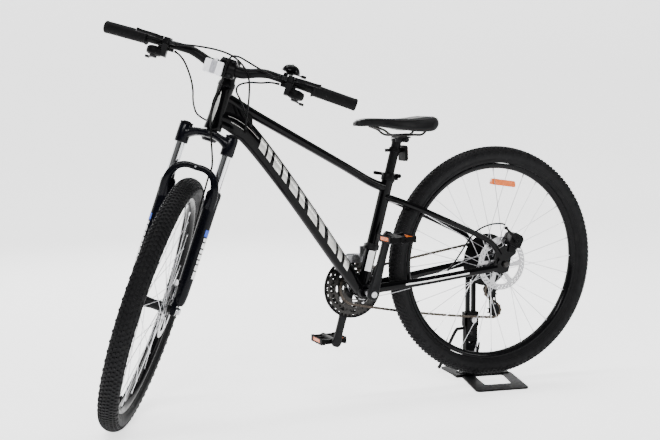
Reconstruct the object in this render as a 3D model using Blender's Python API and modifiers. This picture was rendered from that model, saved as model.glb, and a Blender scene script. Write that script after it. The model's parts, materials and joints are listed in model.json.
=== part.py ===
"""Hardtail bicycle with front suspension, its rear end held by a folding display stand.

Metres, +Z up.  The bicycle faces -X and the rider's left is -Y.  Everything is laid out
from the wheels' midplane and the rear axle's X, then moved so that the origin is in the
middle of the underside of the stand's cross plate.
"""
import math

import bmesh
import bpy
from mathutils import Matrix, Vector

# ---------------------------------------------------------------- driving dimensions
TYRE_RADIUS = 0.3475
TYRE_HALF_WIDTH = 0.0265
TYRE_WALL = 0.004
RIM_OUTER = 0.2962
RIM_INNER = 0.2800
SPOKE_COUNT = 32
SPOKE_RADIUS = 0.0008
SPOKE_LACING = 67.5             # degrees between a spoke's flange hole and its rim hole
AXLE_RADIUS = 0.0050
AXLE_BORE = 0.0058
ROTOR_RADIUS = 0.0800
ROTOR_THICKNESS = 0.0018
REAR_ROTOR_Y = -0.0545
FRONT_ROTOR_Y = -0.0395

REAR_AXLE = Vector((0.0, 0.0, 0.3735))
BOTTOM_BRACKET = Vector((-0.437, 0.0, 0.316))
CROWN = Vector((-0.884, 0.0, 0.7733))       # crown race, on the steering axis
HEAD_ANGLE = 70.33
SEAT_ANGLE = 75.1
REST_STEER = 64.0                            # the bars rest turned to the rider's left
FORK_OFFSET = 0.0434
AXLE_TO_CROWN = 0.475
STANCHION_Y = 0.0632
STANCHION_RADIUS = 0.0135

SEAT_TUBE_TOP = 0.335                        # along the seat tube from the bottom bracket
SEAT_TUBE_RADIUS = 0.0172
SEATPOST_RADIUS = 0.0136
CRANK_LENGTH = 0.170
CRANK_ANGLE = 74.3                           # left arm, from +X towards +Z
CHAIN_PITCH = 0.0127
RING_TEETH = (24, 34, 42)
RING_Y = (0.0435, 0.0505, 0.0575)
COG_TEETH = (34, 28, 24, 20, 17, 14, 12)
COG_Y = (0.0375, 0.0435, 0.0472, 0.0504, 0.0536, 0.0568, 0.0598)
PULLEY_TEETH = 11
GUIDE_PULLEY = Vector((0.025, 0.0435, 0.2740))
TENSION_PULLEY = Vector((0.036, 0.0435, 0.2120))
CHAIN_HALF_HEIGHT = 0.0038
CHAIN_HALF_WIDTH = 0.0033
CHAIN_SAG = 0.0075
TOOTH_GAP = 0.0012

BAR_CENTRE = Vector((-0.0775, 0.0, 0.172))   # in the steering frame
BAR_KNEE = Vector((-0.0775, 0.120, 0.190))
BAR_END = Vector((-0.0403, 0.3400, 0.187))
BAR_RADIUS = 0.0111
BAR_CLAMP_RADIUS = 0.0159
CABLE_RADIUS = 0.0025

STAND_BAR = 0.005
STAND_MOUNT = Vector((0.0, 0.092, 0.0))      # the origin's place in the layout frame
FIT = 0.0003                                 # gap kept between pieces that touch


# ---------------------------------------------------------------- scene and helpers
for existing in list(bpy.data.objects):
    bpy.data.objects.remove(existing, do_unlink=True)

PARTS = bpy.data.collections.new("bicycle_on_stand")
CUTTERS = bpy.data.collections.new("cutters")
bpy.context.scene.collection.children.link(PARTS)
bpy.context.scene.collection.children.link(CUTTERS)


def material(name, colour, roughness, metallic):
    mat = bpy.data.materials.new(name)
    mat.use_nodes = True
    shader = mat.node_tree.nodes["Principled BSDF"]
    shader.inputs["Base Color"].default_value = (*colour, 1.0)
    shader.inputs["Roughness"].default_value = roughness
    shader.inputs["Metallic"].default_value = metallic
    mat.diffuse_color = (*colour, 1.0)
    return mat


def frame_empty(name, matrix, parent=None):
    """An empty that carries a body; its axes are the body's joint frame."""
    empty = bpy.data.objects.new(name, None)
    empty.empty_display_size = 0.03
    PARTS.objects.link(empty)
    empty.parent = parent
    empty.matrix_basis = matrix
    bpy.context.view_layer.update()
    return empty


def pivot(name, location, parent=None):
    return frame_empty(name, Matrix.Translation(location), parent)


def new_object(data, matrix=None):
    obj = bpy.data.objects.new("piece", data)
    PARTS.objects.link(obj)
    obj.matrix_basis = matrix or Matrix()
    return obj


def object_from(bm):
    mesh = bpy.data.meshes.new("piece")
    bm.to_mesh(mesh)
    bm.free()
    return new_object(mesh)


def box(low, high, turn=None):
    """A block between two corners, optionally turned about its own centre."""
    low, high = Vector(low), Vector(high)
    size = high - low
    matrix = Matrix.Translation((low + high) / 2) @ (turn or Matrix())
    bm = bmesh.new()
    bmesh.ops.create_cube(bm, size=1.0, matrix=matrix @ Matrix.Diagonal((*size, 1.0)))
    return object_from(bm)


def rod(start, end, radius, end_radius=None, sides=16):
    start, end = Vector(start), Vector(end)
    axis = end - start
    turn = axis.to_track_quat("Z", "Y").to_matrix().to_4x4()
    matrix = Matrix.Translation((start + end) / 2) @ turn
    bm = bmesh.new()
    bmesh.ops.create_cone(bm, cap_ends=True, segments=sides, radius1=radius,
                          radius2=radius if end_radius is None else end_radius,
                          depth=axis.length, matrix=matrix)
    return object_from(bm)


def lathe(profile, steps, matrix=None):
    """Turn (radius, height) points about Z; a ring's profile ends where it starts."""
    closed = profile[0] == profile[-1]
    points = profile[:-1] if closed else profile
    bm = bmesh.new()
    verts = [bm.verts.new((radius, 0.0, height)) for radius, height in points]
    for first, second in zip(verts, verts[1:]):
        bm.edges.new((first, second))
    if closed:
        bm.edges.new((verts[-1], verts[0]))
    obj = object_from(bm)
    obj.matrix_basis = matrix or Matrix()
    screw = obj.modifiers.new("turn", "SCREW")
    screw.steps = steps
    screw.render_steps = steps
    screw.use_merge_vertices = True
    screw.merge_threshold = 0.00001
    screw.use_smooth_shade = True
    return obj


def about_y(location=(0.0, 0.0, 0.0)):
    """Lays a lathe's axis along Y, its height growing towards +Y."""
    return Matrix.Translation(location) @ Matrix.Rotation(-math.pi / 2, 4, "X")


def flat_curve(outline, thickness, holes=()):
    curve = bpy.data.curves.new("piece", "CURVE")
    curve.dimensions = "2D"
    curve.fill_mode = "BOTH"
    curve.extrude = thickness / 2
    for loop in (outline, *holes):
        spline = curve.splines.new("POLY")
        spline.points.add(len(loop) - 1)
        for point, (across, along) in zip(spline.points, loop):
            point.co = (across, along, 0.0, 1.0)
        spline.use_cyclic_u = True
    return curve


def plate_xz(outline, y, thickness, holes=()):
    """A flat plate whose outline is given in X and Z."""
    matrix = Matrix.Translation((0.0, y, 0.0)) @ Matrix.Rotation(math.pi / 2, 4, "X")
    return new_object(flat_curve(outline, thickness, holes), matrix)


def plate_yz(outline, x, thickness, holes=()):
    """A flat plate whose outline is given in Y and Z."""
    turn = Matrix(((0, 0, 1, x), (1, 0, 0, 0), (0, 1, 0, 0), (0, 0, 0, 1)))
    return new_object(flat_curve(outline, thickness, holes), turn)


def plate_xy(outline, z, thickness, holes=()):
    return new_object(flat_curve(outline, thickness, holes), Matrix.Translation((0, 0, z)))


def tube(points, radius, radii=None, resolution=2):
    """A round tube along points; radii gives each point's own radius."""
    curve = bpy.data.curves.new("piece", "CURVE")
    curve.dimensions = "3D"
    curve.bevel_depth = radius
    curve.bevel_resolution = resolution
    curve.use_fill_caps = True
    spline = curve.splines.new("POLY")
    spline.points.add(len(points) - 1)
    for index, (point, place) in enumerate(zip(spline.points, points)):
        point.co = (*place, 1.0)
        point.radius = radii[index] / radius if radii else 1.0
    return new_object(curve)


def smooth_route(points, per_span=4):
    """Points on the smooth curve through a route's own points."""
    points = [Vector(point) for point in points]
    ends = [points[0] * 2 - points[1], *points, points[-1] * 2 - points[-2]]
    route = []
    for before, start, end, after in zip(ends, ends[1:], ends[2:], ends[3:]):
        for step in range(per_span):
            t = step / per_span
            route.append(0.5 * (2 * start + (end - before) * t
                                + (2 * before - 5 * start + 4 * end - after) * t ** 2
                                + (3 * start - before - 3 * end + after) * t ** 3))
    route.append(points[-1])
    return route


def loft(rings):
    """A closed skin through rings of equal point counts, capped at both ends."""
    bm = bmesh.new()
    loops = [[bm.verts.new(point) for point in ring] for ring in rings]
    for lower, upper in zip(loops, loops[1:]):
        for index in range(len(lower)):
            follow = (index + 1) % len(lower)
            bm.faces.new((lower[index], lower[follow], upper[follow], upper[index]))
    bm.faces.new(list(reversed(loops[0])))
    bm.faces.new(loops[-1])
    bmesh.ops.recalc_face_normals(bm, faces=bm.faces)
    return object_from(bm)


def oval_ring(centre, side, up, half_width, half_height, sides=12):
    ring = []
    for index in range(sides):
        angle = 2 * math.pi * (index + 0.5) / sides
        ring.append(centre + side * (half_width * math.cos(angle))
                    + up * (half_height * math.sin(angle)))
    return ring


def oval_tube(stations, sides=10):
    """A tube through (centre, half width, half height) stations, width level across."""
    centres = [Vector(station[0]) for station in stations]
    rings = []
    for index, (_, half_width, half_height) in enumerate(stations):
        before = centres[max(index - 1, 0)]
        after = centres[min(index + 1, len(centres) - 1)]
        along = (after - before).normalized()
        side = along.cross(Vector((0, 0, 1))).normalized()
        up = side.cross(along).normalized()
        rings.append(oval_ring(centres[index], side, up, half_width, half_height, sides))
    return loft(rings)


def circle(radius, count, centre=(0.0, 0.0)):
    return [(centre[0] + radius * math.cos(2 * math.pi * index / count),
             centre[1] + radius * math.sin(2 * math.pi * index / count))
            for index in range(count)]


def rounded(outline, radius, steps=3):
    """An outline with each corner replaced by a short curve."""
    result = []
    for index, corner in enumerate(outline):
        corner = Vector(corner)
        before = Vector(outline[index - 1])
        after = Vector(outline[(index + 1) % len(outline)])
        reach_in = min(radius, (before - corner).length * 0.45)
        reach_out = min(radius, (after - corner).length * 0.45)
        start = corner + (before - corner).normalized() * reach_in
        end = corner + (after - corner).normalized() * reach_out
        for step in range(steps + 1):
            t = step / steps
            result.append(tuple((1 - t) ** 2 * start + 2 * t * (1 - t) * corner + t * t * end))
    return result


def as_mesh(obj):
    """Swap a curve or modified object for its evaluated mesh, with the caps welded."""
    bpy.context.view_layer.update()
    evaluated = obj.evaluated_get(bpy.context.evaluated_depsgraph_get())
    mesh = bpy.data.meshes.new_from_object(evaluated)
    mesh.transform(obj.matrix_world)
    bm = bmesh.new()
    bm.from_mesh(mesh)
    bmesh.ops.remove_doubles(bm, verts=bm.verts, dist=0.000005)
    bm.to_mesh(mesh)
    bm.free()
    bpy.data.objects.remove(obj, do_unlink=True)
    return new_object(mesh)


def boolean(base, pieces, operation):
    tools = bpy.data.collections.new("tools")
    CUTTERS.children.link(tools)
    for piece in pieces:
        PARTS.objects.unlink(piece)
        tools.objects.link(piece)
    modifier = base.modifiers.new("cut", "BOOLEAN")
    modifier.operation = operation
    modifier.operand_type = "COLLECTION"
    modifier.collection = tools
    modifier.solver = "EXACT"
    result = as_mesh(base)
    for piece in pieces:
        bpy.data.objects.remove(piece, do_unlink=True)
    bpy.data.collections.remove(tools)
    return result


def weld(pieces, cuts=()):
    """One solid from overlapping pieces, with the cuts taken out of it."""
    pieces = [as_mesh(piece) for piece in pieces]
    result = pieces[0]
    if len(pieces) > 1:
        result = boolean(result, pieces[1:], "UNION")
    if cuts:
        result = boolean(result, [as_mesh(cut) for cut in cuts], "DIFFERENCE")
    return result


def part(obj, name, mat, parent=None, at=None):
    """Name a finished piece, colour it and hang it on its body's empty.

    Pieces are modelled in their frame's own coordinates; at is the empty's place there.
    """
    obj.name = name
    obj.data.name = name
    obj.data.materials.clear()
    obj.data.materials.append(mat)
    if obj.type == "MESH" and not obj.modifiers:
        obj.data.shade_smooth()
        obj.data.set_sharp_from_angle(angle=math.radians(35))
    if parent:
        obj.parent = parent
        obj.matrix_parent_inverse = Matrix.Translation(Vector(at or (0, 0, 0))).inverted()
    return obj


def direction(angle):
    """Unit vector in the XZ plane, measured from +X towards +Z."""
    return Vector((math.cos(math.radians(angle)), 0.0, math.sin(math.radians(angle))))


def seat_point(distance, y=0.0):
    return BOTTOM_BRACKET + direction(SEAT_ANGLE) * distance + Vector((0.0, y, 0.0))


def sprocket_radius(teeth):
    return CHAIN_PITCH / (2 * math.sin(math.pi / teeth))


def sprocket_body(teeth):
    """The solid disc that stays clear under the chain's inner edge."""
    return sprocket_radius(teeth) - CHAIN_HALF_HEIGHT - TOOTH_GAP


STEERING_MATRIX = (Matrix.Translation(CROWN)
                   @ Matrix.Rotation(math.radians(90 - HEAD_ANGLE), 4, "Y")
                   @ Matrix.Rotation(math.radians(REST_STEER), 4, "Z"))
HEAD_AXIS = direction(HEAD_ANGLE)
FRONT_AXLE = Vector((-FORK_OFFSET, 0.0, -AXLE_TO_CROWN))

BLACK_PAINT = material("gloss_black_paint", (0.012, 0.012, 0.014), 0.16, 0.0)
BLACK_ALLOY = material("black_alloy", (0.03, 0.03, 0.033), 0.38, 0.6)
SATIN_STEEL = material("satin_steel", (0.55, 0.55, 0.57), 0.30, 1.0)
CHROME = material("polished_stanchion", (0.75, 0.76, 0.78), 0.12, 1.0)
RUBBER = material("black_rubber", (0.018, 0.018, 0.02), 0.8, 0.0)
TYRE_RUBBER = material("tyre_rubber", (0.022, 0.022, 0.025), 0.85, 0.0)
PLASTIC = material("black_plastic", (0.02, 0.02, 0.022), 0.45, 0.0)
VINYL = material("saddle_vinyl", (0.02, 0.02, 0.022), 0.55, 0.0)
HOUSING = material("cable_housing", (0.015, 0.015, 0.016), 0.35, 0.0)
RED_LENS = material("red_reflector", (0.25, 0.01, 0.01), 0.2, 0.0)
WHITE_LENS = material("white_reflector", (0.8, 0.8, 0.82), 0.2, 0.0)
STAND_PAINT = material("stand_black_powder", (0.025, 0.025, 0.027), 0.5, 0.2)


# ---------------------------------------------------------------- display stand
def stand_base():
    """Two flat-bar loops on a cross plate, and the column that the upright slides in."""
    near = [(-0.050, 0.095), (-0.107, -0.096), (0.058, -0.124), (0.114, 0.070)]
    near_hole = [(-0.015, 0.075), (-0.046, -0.044), (0.040, -0.058), (0.078, 0.055)]
    far = [(-0.066, 0.100), (-0.056, 0.218), (0.098, 0.190), (0.108, 0.070)]
    far_hole = [(-0.034, 0.126), (-0.028, 0.186), (0.068, 0.168), (0.074, 0.106)]
    cross = [(-0.072, 0.082), (0.100, 0.052), (0.108, 0.099), (-0.064, 0.129)]
    pieces = [plate_xy(cross, 0.0045, 0.009)]
    for outline, hole in ((near, near_hole), (far, far_hole)):
        pieces.append(plate_xy(rounded(outline, 0.016), STAND_BAR / 2, STAND_BAR,
                               [rounded(hole, 0.010)]))
    column = box((-0.0435, 0.0745, 0.002), (-0.0035, 0.0955, 0.164))
    clamp = box((-0.0465, 0.0735, 0.160), (-0.0005, 0.0965, 0.205))
    pocket = box((-0.0400, 0.0796, 0.040), (-0.0060, 0.0904, 0.210))
    window = box((-0.0275, 0.070, 0.126), (-0.0185, 0.100, 0.144))
    notch = plate_xz([(-0.034, 0.112), (-0.012, 0.112), (-0.023, 0.100)], 0.085, 0.030)
    screw_hole = rod((-0.023, 0.070, 0.182), (-0.023, 0.0795, 0.182), 0.0034)
    solid = weld([*pieces, column, clamp], [pocket, window, notch, screw_hole])
    part(solid, "stand_base", STAND_PAINT)


def stand_upright():
    """Twin posts with the two hooks that carry the frame's drive-side stays."""
    at = (-0.023, 0.085, 0.205)
    empty = pivot("stand_height_axis", at)
    posts = [box((-0.0394, 0.080, 0.110), (-0.0270, 0.090, 0.346)),
             box((-0.0190, 0.080, 0.110), (-0.0066, 0.090, 0.318))]
    bridge = box((-0.0394, 0.080, 0.308), (-0.0066, 0.090, 0.318))
    heel = box((-0.0394, 0.080, 0.110), (-0.0066, 0.090, 0.122))
    hook = box((-0.0480, 0.0630, 0.338), (-0.0270, 0.088, 0.3508))
    lip = box((-0.0480, 0.0785, 0.340), (-0.0270, 0.0835, 0.370))
    part(weld([*posts, bridge, heel, hook, lip]), "stand_upright", STAND_PAINT, empty, at)


def stand_knob():
    at = (-0.023, 0.070, 0.182)
    empty = pivot("stand_knob_axis", at)
    head = rod((-0.023, 0.0595, 0.182), (-0.023, 0.0705, 0.182), 0.0088, sides=14)
    screw = rod((-0.023, 0.070, 0.182), (-0.023, 0.0792, 0.182), 0.0030, sides=10)
    part(weld([head, screw]), "stand_knob", SATIN_STEEL, empty, at)


def stand_brace():
    """Inverted U of round bar that props the column from the far side."""
    at = (-0.029, 0.1020, 0.150)
    empty = pivot("stand_brace_axis", at)
    left = [(-0.052, 0.102, 0.150), (-0.061, 0.106, 0.145), (-0.068, 0.126, 0.110),
            (-0.072, 0.186, 0.018), (-0.072, 0.194, 0.0112)]
    right = [(-0.006 - 0.052 - x, y, z) for x, y, z in left]
    bar = tube([Vector(point) for point in [*reversed(left), *right]], 0.0050)
    part(bar, "stand_brace", STAND_PAINT, empty, at)


# ---------------------------------------------------------------- frame
def dropout(side, tab):
    """Slotted plate that takes the axle; the left one carries the brake tab."""
    outline = [(-0.040, 0.352), (-0.012, 0.345), (0.012, 0.350), (0.017, 0.374)]
    if tab:
        outline += [(0.021, 0.392), (0.040, 0.404), (0.036, 0.417), (0.018, 0.430),
                    (-0.010, 0.426), (-0.030, 0.418)]
    else:
        outline += [(0.010, 0.392), (-0.008, 0.402), (-0.026, 0.412)]
    if side > 0:
        outline = [(-0.040, 0.356), (-0.014, 0.352), (-0.003, 0.328), (0.017, 0.328),
                   *outline[2:]]
    return plate_xz(rounded(outline, 0.008), side * 0.0710, 0.006)


def frame():
    head_low = CROWN + HEAD_AXIS * 0.012
    head_high = CROWN + HEAD_AXIS * 0.134
    head_tube = rod(head_low, head_high, 0.0238, 0.0222, sides=18)
    top_tube = oval_tube([((-0.846, 0, 0.8735), 0.018, 0.0165), ((-0.740, 0, 0.8135), 0.0178, 0.0135),
                          ((-0.500, 0, 0.6805), 0.0178, 0.0122), ((-0.412, 0, 0.6300), 0.0172, 0.0128),
                          ((-0.364, 0, 0.6100), 0.0150, 0.0140)])
    down_tube = oval_tube([((-0.872, 0, 0.8250), 0.0200, 0.0230), ((-0.815, 0, 0.8010), 0.0220, 0.0300),
                           ((-0.762, 0, 0.7530), 0.0235, 0.0285), ((-0.652, 0, 0.6120), 0.0240, 0.0262),
                           ((-0.509, 0, 0.4110), 0.0245, 0.0232), ((-0.444, 0, 0.3210), 0.0245, 0.0205)])
    seat_tube = rod(seat_point(-0.005), seat_point(SEAT_TUBE_TOP), SEAT_TUBE_RADIUS, sides=18)
    shell = rod((BOTTOM_BRACKET.x, -0.0365, BOTTOM_BRACKET.z),
                (BOTTOM_BRACKET.x, 0.0365, BOTTOM_BRACKET.z), 0.0215, sides=20)
    gusset = plate_xz([(-0.420, 0.628), (-0.398, 0.631), (-0.370, 0.6235), (-0.360, 0.600)],
                      0.0, 0.014)
    pieces = [down_tube, head_tube, top_tube, seat_tube, shell, gusset]
    for side in (-1, 1):
        pieces.append(oval_tube([((-0.432, side * 0.024, 0.3190), 0.0090, 0.0135),
                                 ((-0.400, side * 0.0300, 0.3235), 0.0085, 0.0135),
                                 ((-0.345, side * 0.0385, 0.3285), 0.0072, 0.0130),
                                 ((-0.250, side * 0.0510, 0.3380), 0.0080, 0.0120),
                                 ((-0.120, side * 0.0630, 0.3535), 0.0085, 0.0112),
                                 ((-0.026, side * 0.0705, 0.3640), 0.0062, 0.0098)], sides=8))
        stay = [seat_point(0.278, side * 0.010), Vector((-0.325, side * 0.0290, 0.5700)),
                Vector((-0.235, side * 0.0480, 0.5320)), Vector((-0.080, side * 0.0610, 0.4610)),
                Vector((-0.040, side * 0.0675, 0.4350)), Vector((-0.016, side * 0.0710, 0.4020))]
        pieces.append(tube(stay, 0.0088, [0.0095, 0.009, 0.0086, 0.0082, 0.0080, 0.0066], 3))
        pieces.append(dropout(side, side < 0))
    pieces.append(rod((-0.330, -0.026, 0.5690), (-0.330, 0.026, 0.5690), 0.0070, sides=10))
    pieces.append(rod((-0.386, -0.031, 0.3240), (-0.386, 0.031, 0.3240), 0.0085, sides=10))

    axle_slot = [rod((0, -0.08, REAR_AXLE.z), (0, 0.08, REAR_AXLE.z), AXLE_BORE),
                 box((-AXLE_BORE, -0.08, 0.330), (AXLE_BORE, -0.06, REAR_AXLE.z))]
    cuts = [rod(head_low - HEAD_AXIS * 0.02, head_high + HEAD_AXIS * 0.02, 0.0157, sides=20),
            rod(seat_point(0.110), seat_point(SEAT_TUBE_TOP + 0.02), SEATPOST_RADIUS + 0.0004,
                sides=24),
            rod((BOTTOM_BRACKET.x, -0.06, BOTTOM_BRACKET.z),
                (BOTTOM_BRACKET.x, 0.06, BOTTOM_BRACKET.z), 0.0135),
            *axle_slot,
            rod((0.020, -0.08, 0.4170), (0.020, -0.06, 0.4170), 0.0045, sides=12),
            rod((0.0070, 0.06, 0.3390), (0.0070, 0.08, 0.3390), 0.0045, sides=12)]
    part(weld(pieces, cuts), "frame", BLACK_PAINT)


def seat_collar():
    low = seat_point(SEAT_TUBE_TOP - 0.011)
    high = seat_point(SEAT_TUBE_TOP + 0.010)
    ring = rod(low, high, 0.0205, sides=18)
    up = direction(SEAT_ANGLE)
    back = Vector((up.z, 0.0, -up.x))
    centre = (low + high) / 2 + back * 0.0235 + up * 0.010
    lug = rod(centre + Vector((0, -0.022, 0)), centre + Vector((0, 0.0185, 0)), 0.0062, sides=12)
    neck = box(centre - Vector((0.012, 0.009, 0.0125)), centre + Vector((0.002, 0.009, 0.0050)))
    bore = rod(low - up * 0.01, low + up * 0.0115, SEAT_TUBE_RADIUS + FIT + 0.0003, sides=20)
    neck_bore = rod(low, high + up * 0.01, SEATPOST_RADIUS + 0.0005, sides=20)
    bolt_hole = rod(centre + Vector((0, 0.010, 0)), centre + Vector((0, 0.03, 0)), 0.0030, sides=10)
    part(weld([ring, lug, neck], [bore, neck_bore, bolt_hole]), "seat_collar", BLACK_ALLOY)
    return centre


def cam_lever(at, reach, outward=0.003):
    """A lever lying beside the axle; its cam barrel is the hinge that opens it along +Y."""
    along = reach.normalized()
    barrel_axis = along.cross(Vector((0, 1, 0))) * 0.0078
    barrel = rod(at - barrel_axis, at + barrel_axis, 0.0055, sides=12)
    side = Vector((0, outward, 0))
    arm = tube([at, at + reach * 0.5 + side, at + reach + side * 0.4], 0.0042,
               [0.0040, 0.0044, 0.0054])
    return weld([barrel, arm])


def seat_quick_release(centre):
    """Cam lever on the drive side of the seat collar, lying forward along the collar."""
    at = centre + Vector((0, 0.0245, 0))
    empty = pivot("seat_lever_axis", at)
    lever = cam_lever(at, Vector((-0.060, 0.0, 0.010)))
    part(lever, "seat_qr_lever", BLACK_ALLOY, empty, at)


# ---------------------------------------------------------------- saddle and post
def seat_group():
    """The post's clamp head, the rails, the padded shell and the rear reflector."""
    at = seat_point(SEAT_TUBE_TOP)
    empty = pivot("seatpost_axis", at)
    top = seat_point(0.446)
    post = rod(seat_point(0.180), top, SEATPOST_RADIUS, sides=24)
    head = box(top + Vector((-0.012, -0.0160, -0.006)), top + Vector((0.030, 0.0160, 0.0085)))
    jaw = rod(top + Vector((0.018, -0.026, 0.000)), top + Vector((0.018, 0.026, 0.000)), 0.0082)
    part(weld([post, head, jaw]), "seatpost", BLACK_ALLOY, empty, at)

    rail_z = top.z + 0.0135
    route = [(-0.240, 0.040, 0.785), (-0.258, 0.034, rail_z + 0.002), (-0.282, 0.024, rail_z),
             (-0.348, 0.022, rail_z), (-0.375, 0.020, 0.7760), (-0.402, 0.012, 0.7850),
             (-0.410, 0.000, 0.7860)]
    loop = [Vector(point) for point in route]
    loop += [Vector((x, -y, z)) for x, y, z in reversed(route[:-1])]
    part(tube(loop, 0.0035), "saddle_rails", SATIN_STEEL, empty, at)

    stations = [  # x, half width, top, bottom of the edge
        (-0.460, 0.0130, 0.7980, 0.7895), (-0.448, 0.0200, 0.8050, 0.7880),
        (-0.420, 0.0240, 0.8090, 0.7890), (-0.375, 0.0290, 0.8085, 0.7860),
        (-0.330, 0.0400, 0.8070, 0.7790), (-0.290, 0.0590, 0.8080, 0.7720),
        (-0.250, 0.0715, 0.8120, 0.7700), (-0.225, 0.0670, 0.8130, 0.7780),
        (-0.212, 0.0500, 0.8070, 0.7900)]
    rings = []
    for x, half_width, crown, edge in stations:
        middle = crown - 0.016
        lower = min(0.7925, middle - 0.001)
        rings.append([Vector((x, y * half_width, z)) for y, z in (
            (-1.0, (edge + crown) / 2 - 0.003), (-0.80, crown - 0.0035), (-0.42, crown),
            (0.42, crown), (0.80, crown - 0.0035), (1.0, (edge + crown) / 2 - 0.003),
            (0.96, edge), (0.86, edge + 0.001), (0.62, max(lower, edge + 0.004)),
            (-0.62, max(lower, edge + 0.004)), (-0.86, edge + 0.001), (-0.96, edge))])
    saddle = loft(rings)
    part(saddle, "saddle", VINYL, empty, at)

    band = rod(seat_point(0.409), seat_point(0.421), 0.0172, sides=14)
    bore = rod(seat_point(0.40), seat_point(0.44), SEATPOST_RADIUS + 0.0005, sides=18)
    place = seat_point(0.415)
    ear = box(place + Vector((-0.0300, -0.0045, -0.0045)), place + Vector((-0.0150, 0.0045, 0.0045)))
    arm = box(place + Vector((0.0150, -0.005, -0.006)), place + Vector((0.0270, 0.005, 0.006)))
    lens = box(place + Vector((0.0230, -0.0230, -0.0320)), place + Vector((0.0340, 0.0230, 0.0130)))
    part(weld([band, ear, arm, lens], [bore]), "rear_reflector", RED_LENS, empty, at)


# ---------------------------------------------------------------- wheels
def tyre_profile():
    """An open C: tread and sidewalls outside, a thinner lining inside, beads at the rim."""
    half, outer, wall = TYRE_HALF_WIDTH, TYRE_RADIUS, TYRE_WALL
    skin = [(0.2970, 0.0110), (0.3180, half), (0.3330, 0.0245), (0.3440, 0.0140)]
    outside = [*skin, (outer, 0.0), *[(radius, -height) for radius, height in reversed(skin)]]
    lining = [(0.2970, 0.0065), (0.3180, half - wall), (0.3360, 0.0160)]
    inside = [*lining, *[(radius, -height) for radius, height in reversed(lining)]]
    return [*outside, *reversed(inside), outside[0]]


def rim_profile():
    return [(RIM_OUTER, 0.0135), (RIM_OUTER, -0.0135), (0.2890, -0.0125), (RIM_INNER, -0.0050),
            (RIM_INNER, 0.0050), (0.2890, 0.0125), (RIM_OUTER, 0.0135)]


def spokes(flanges, flange_radius):
    """Crossed spokes from both flanges to the rim, heads alternately in and out."""
    strands = []
    for index in range(SPOKE_COUNT):
        flange_y = flanges[index % 2]
        leading = 1 if (index // 2) % 2 == 0 else -1
        rim_angle = 2 * math.pi * index / SPOKE_COUNT
        hub_angle = rim_angle - leading * math.radians(SPOKE_LACING)
        hub_y = flange_y + leading * 0.0021
        start = Vector((flange_radius * math.cos(hub_angle), hub_y,
                        flange_radius * math.sin(hub_angle)))
        end = Vector(((RIM_INNER - 0.0018) * math.cos(rim_angle), math.copysign(0.0022, flange_y),
                      (RIM_INNER - 0.0018) * math.sin(rim_angle)))
        strands.append(rod(start, end, SPOKE_RADIUS, sides=3))
    return strands


def wheel(prefix, parent, centre, hub_profile, flanges, flange_radius, rotor_y):
    """Tyre, rim, laced hub and brake rotor, turned about the axle's Y direction."""
    place = about_y(centre)
    part(lathe(tyre_profile(), 36, place), prefix + "_tyre", TYRE_RUBBER, parent, centre)
    part(lathe(rim_profile(), 36, place), prefix + "_rim", BLACK_ALLOY, parent, centre)
    hub = lathe(hub_profile, 16, about_y())
    bore = rod((0, -0.08, 0), (0, 0.08, 0), AXLE_BORE, sides=14)
    laced = weld([hub, *spokes(flanges, flange_radius)], [bore])
    laced.data.transform(Matrix.Translation(centre))
    part(laced, prefix + "_hub", SATIN_STEEL, parent, centre)
    windows = []
    for index in range(6):
        angles = [math.radians(60 * index + step) for step in (6, 21, 36, 50)]
        outer = [(0.0655 * math.cos(a), 0.0655 * math.sin(a)) for a in angles]
        inner = [(0.0300 * math.cos(a - 0.25), 0.0300 * math.sin(a - 0.25)) for a in reversed(angles)]
        windows.append([*outer, *inner])
    rotor = plate_xz(circle(ROTOR_RADIUS, 32), rotor_y, ROTOR_THICKNESS,
                     [circle(0.0184, 16), *windows])
    rotor.matrix_basis = Matrix.Translation(centre) @ rotor.matrix_basis
    part(rotor, prefix + "_rotor", SATIN_STEEL, parent, centre)


def rear_wheel():
    profile = [(0.0, 0.0674), (0.0085, 0.0674), (0.0085, 0.0250), (0.0180, 0.0245),
               (0.0300, 0.0225), (0.0300, 0.0195), (0.0165, 0.0165), (0.0150, 0.0),
               (0.0165, -0.0290), (0.0300, -0.0320), (0.0300, -0.0350), (0.0180, -0.0370),
               (0.0180, -0.0570), (0.0100, -0.0590), (0.0085, -0.0674), (0.0, -0.0674)]
    empty = pivot("rear_axle_axis", REAR_AXLE)
    wheel("rear", empty, REAR_AXLE, profile, (-0.0335, 0.0210), 0.0270, REAR_ROTOR_Y)


def cassette():
    """Seven stepped cogs on the freehub, one body about the axle."""
    empty = pivot("cassette_axis", REAR_AXLE)
    outline = []
    for teeth, y in reversed(list(zip(COG_TEETH, COG_Y))):
        radius = sprocket_body(teeth)
        outline += [(radius, y + 0.0009), (radius, y - 0.0009)]
    core = 0.0160
    profile = [(0.0094, 0.0620), (core, 0.0620)]
    previous = core
    for radius, y in outline:
        if radius != previous and len(profile) > 2:
            profile.append((previous, y))
        profile.append((radius, y))
        previous = radius
    profile += [(0.0200, COG_Y[0] - 0.0009), (0.0200, 0.0262), (0.0094, 0.0262), (0.0094, 0.0620)]
    part(lathe(profile, 20, about_y(REAR_AXLE)), "cassette", SATIN_STEEL, empty, REAR_AXLE)


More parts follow.
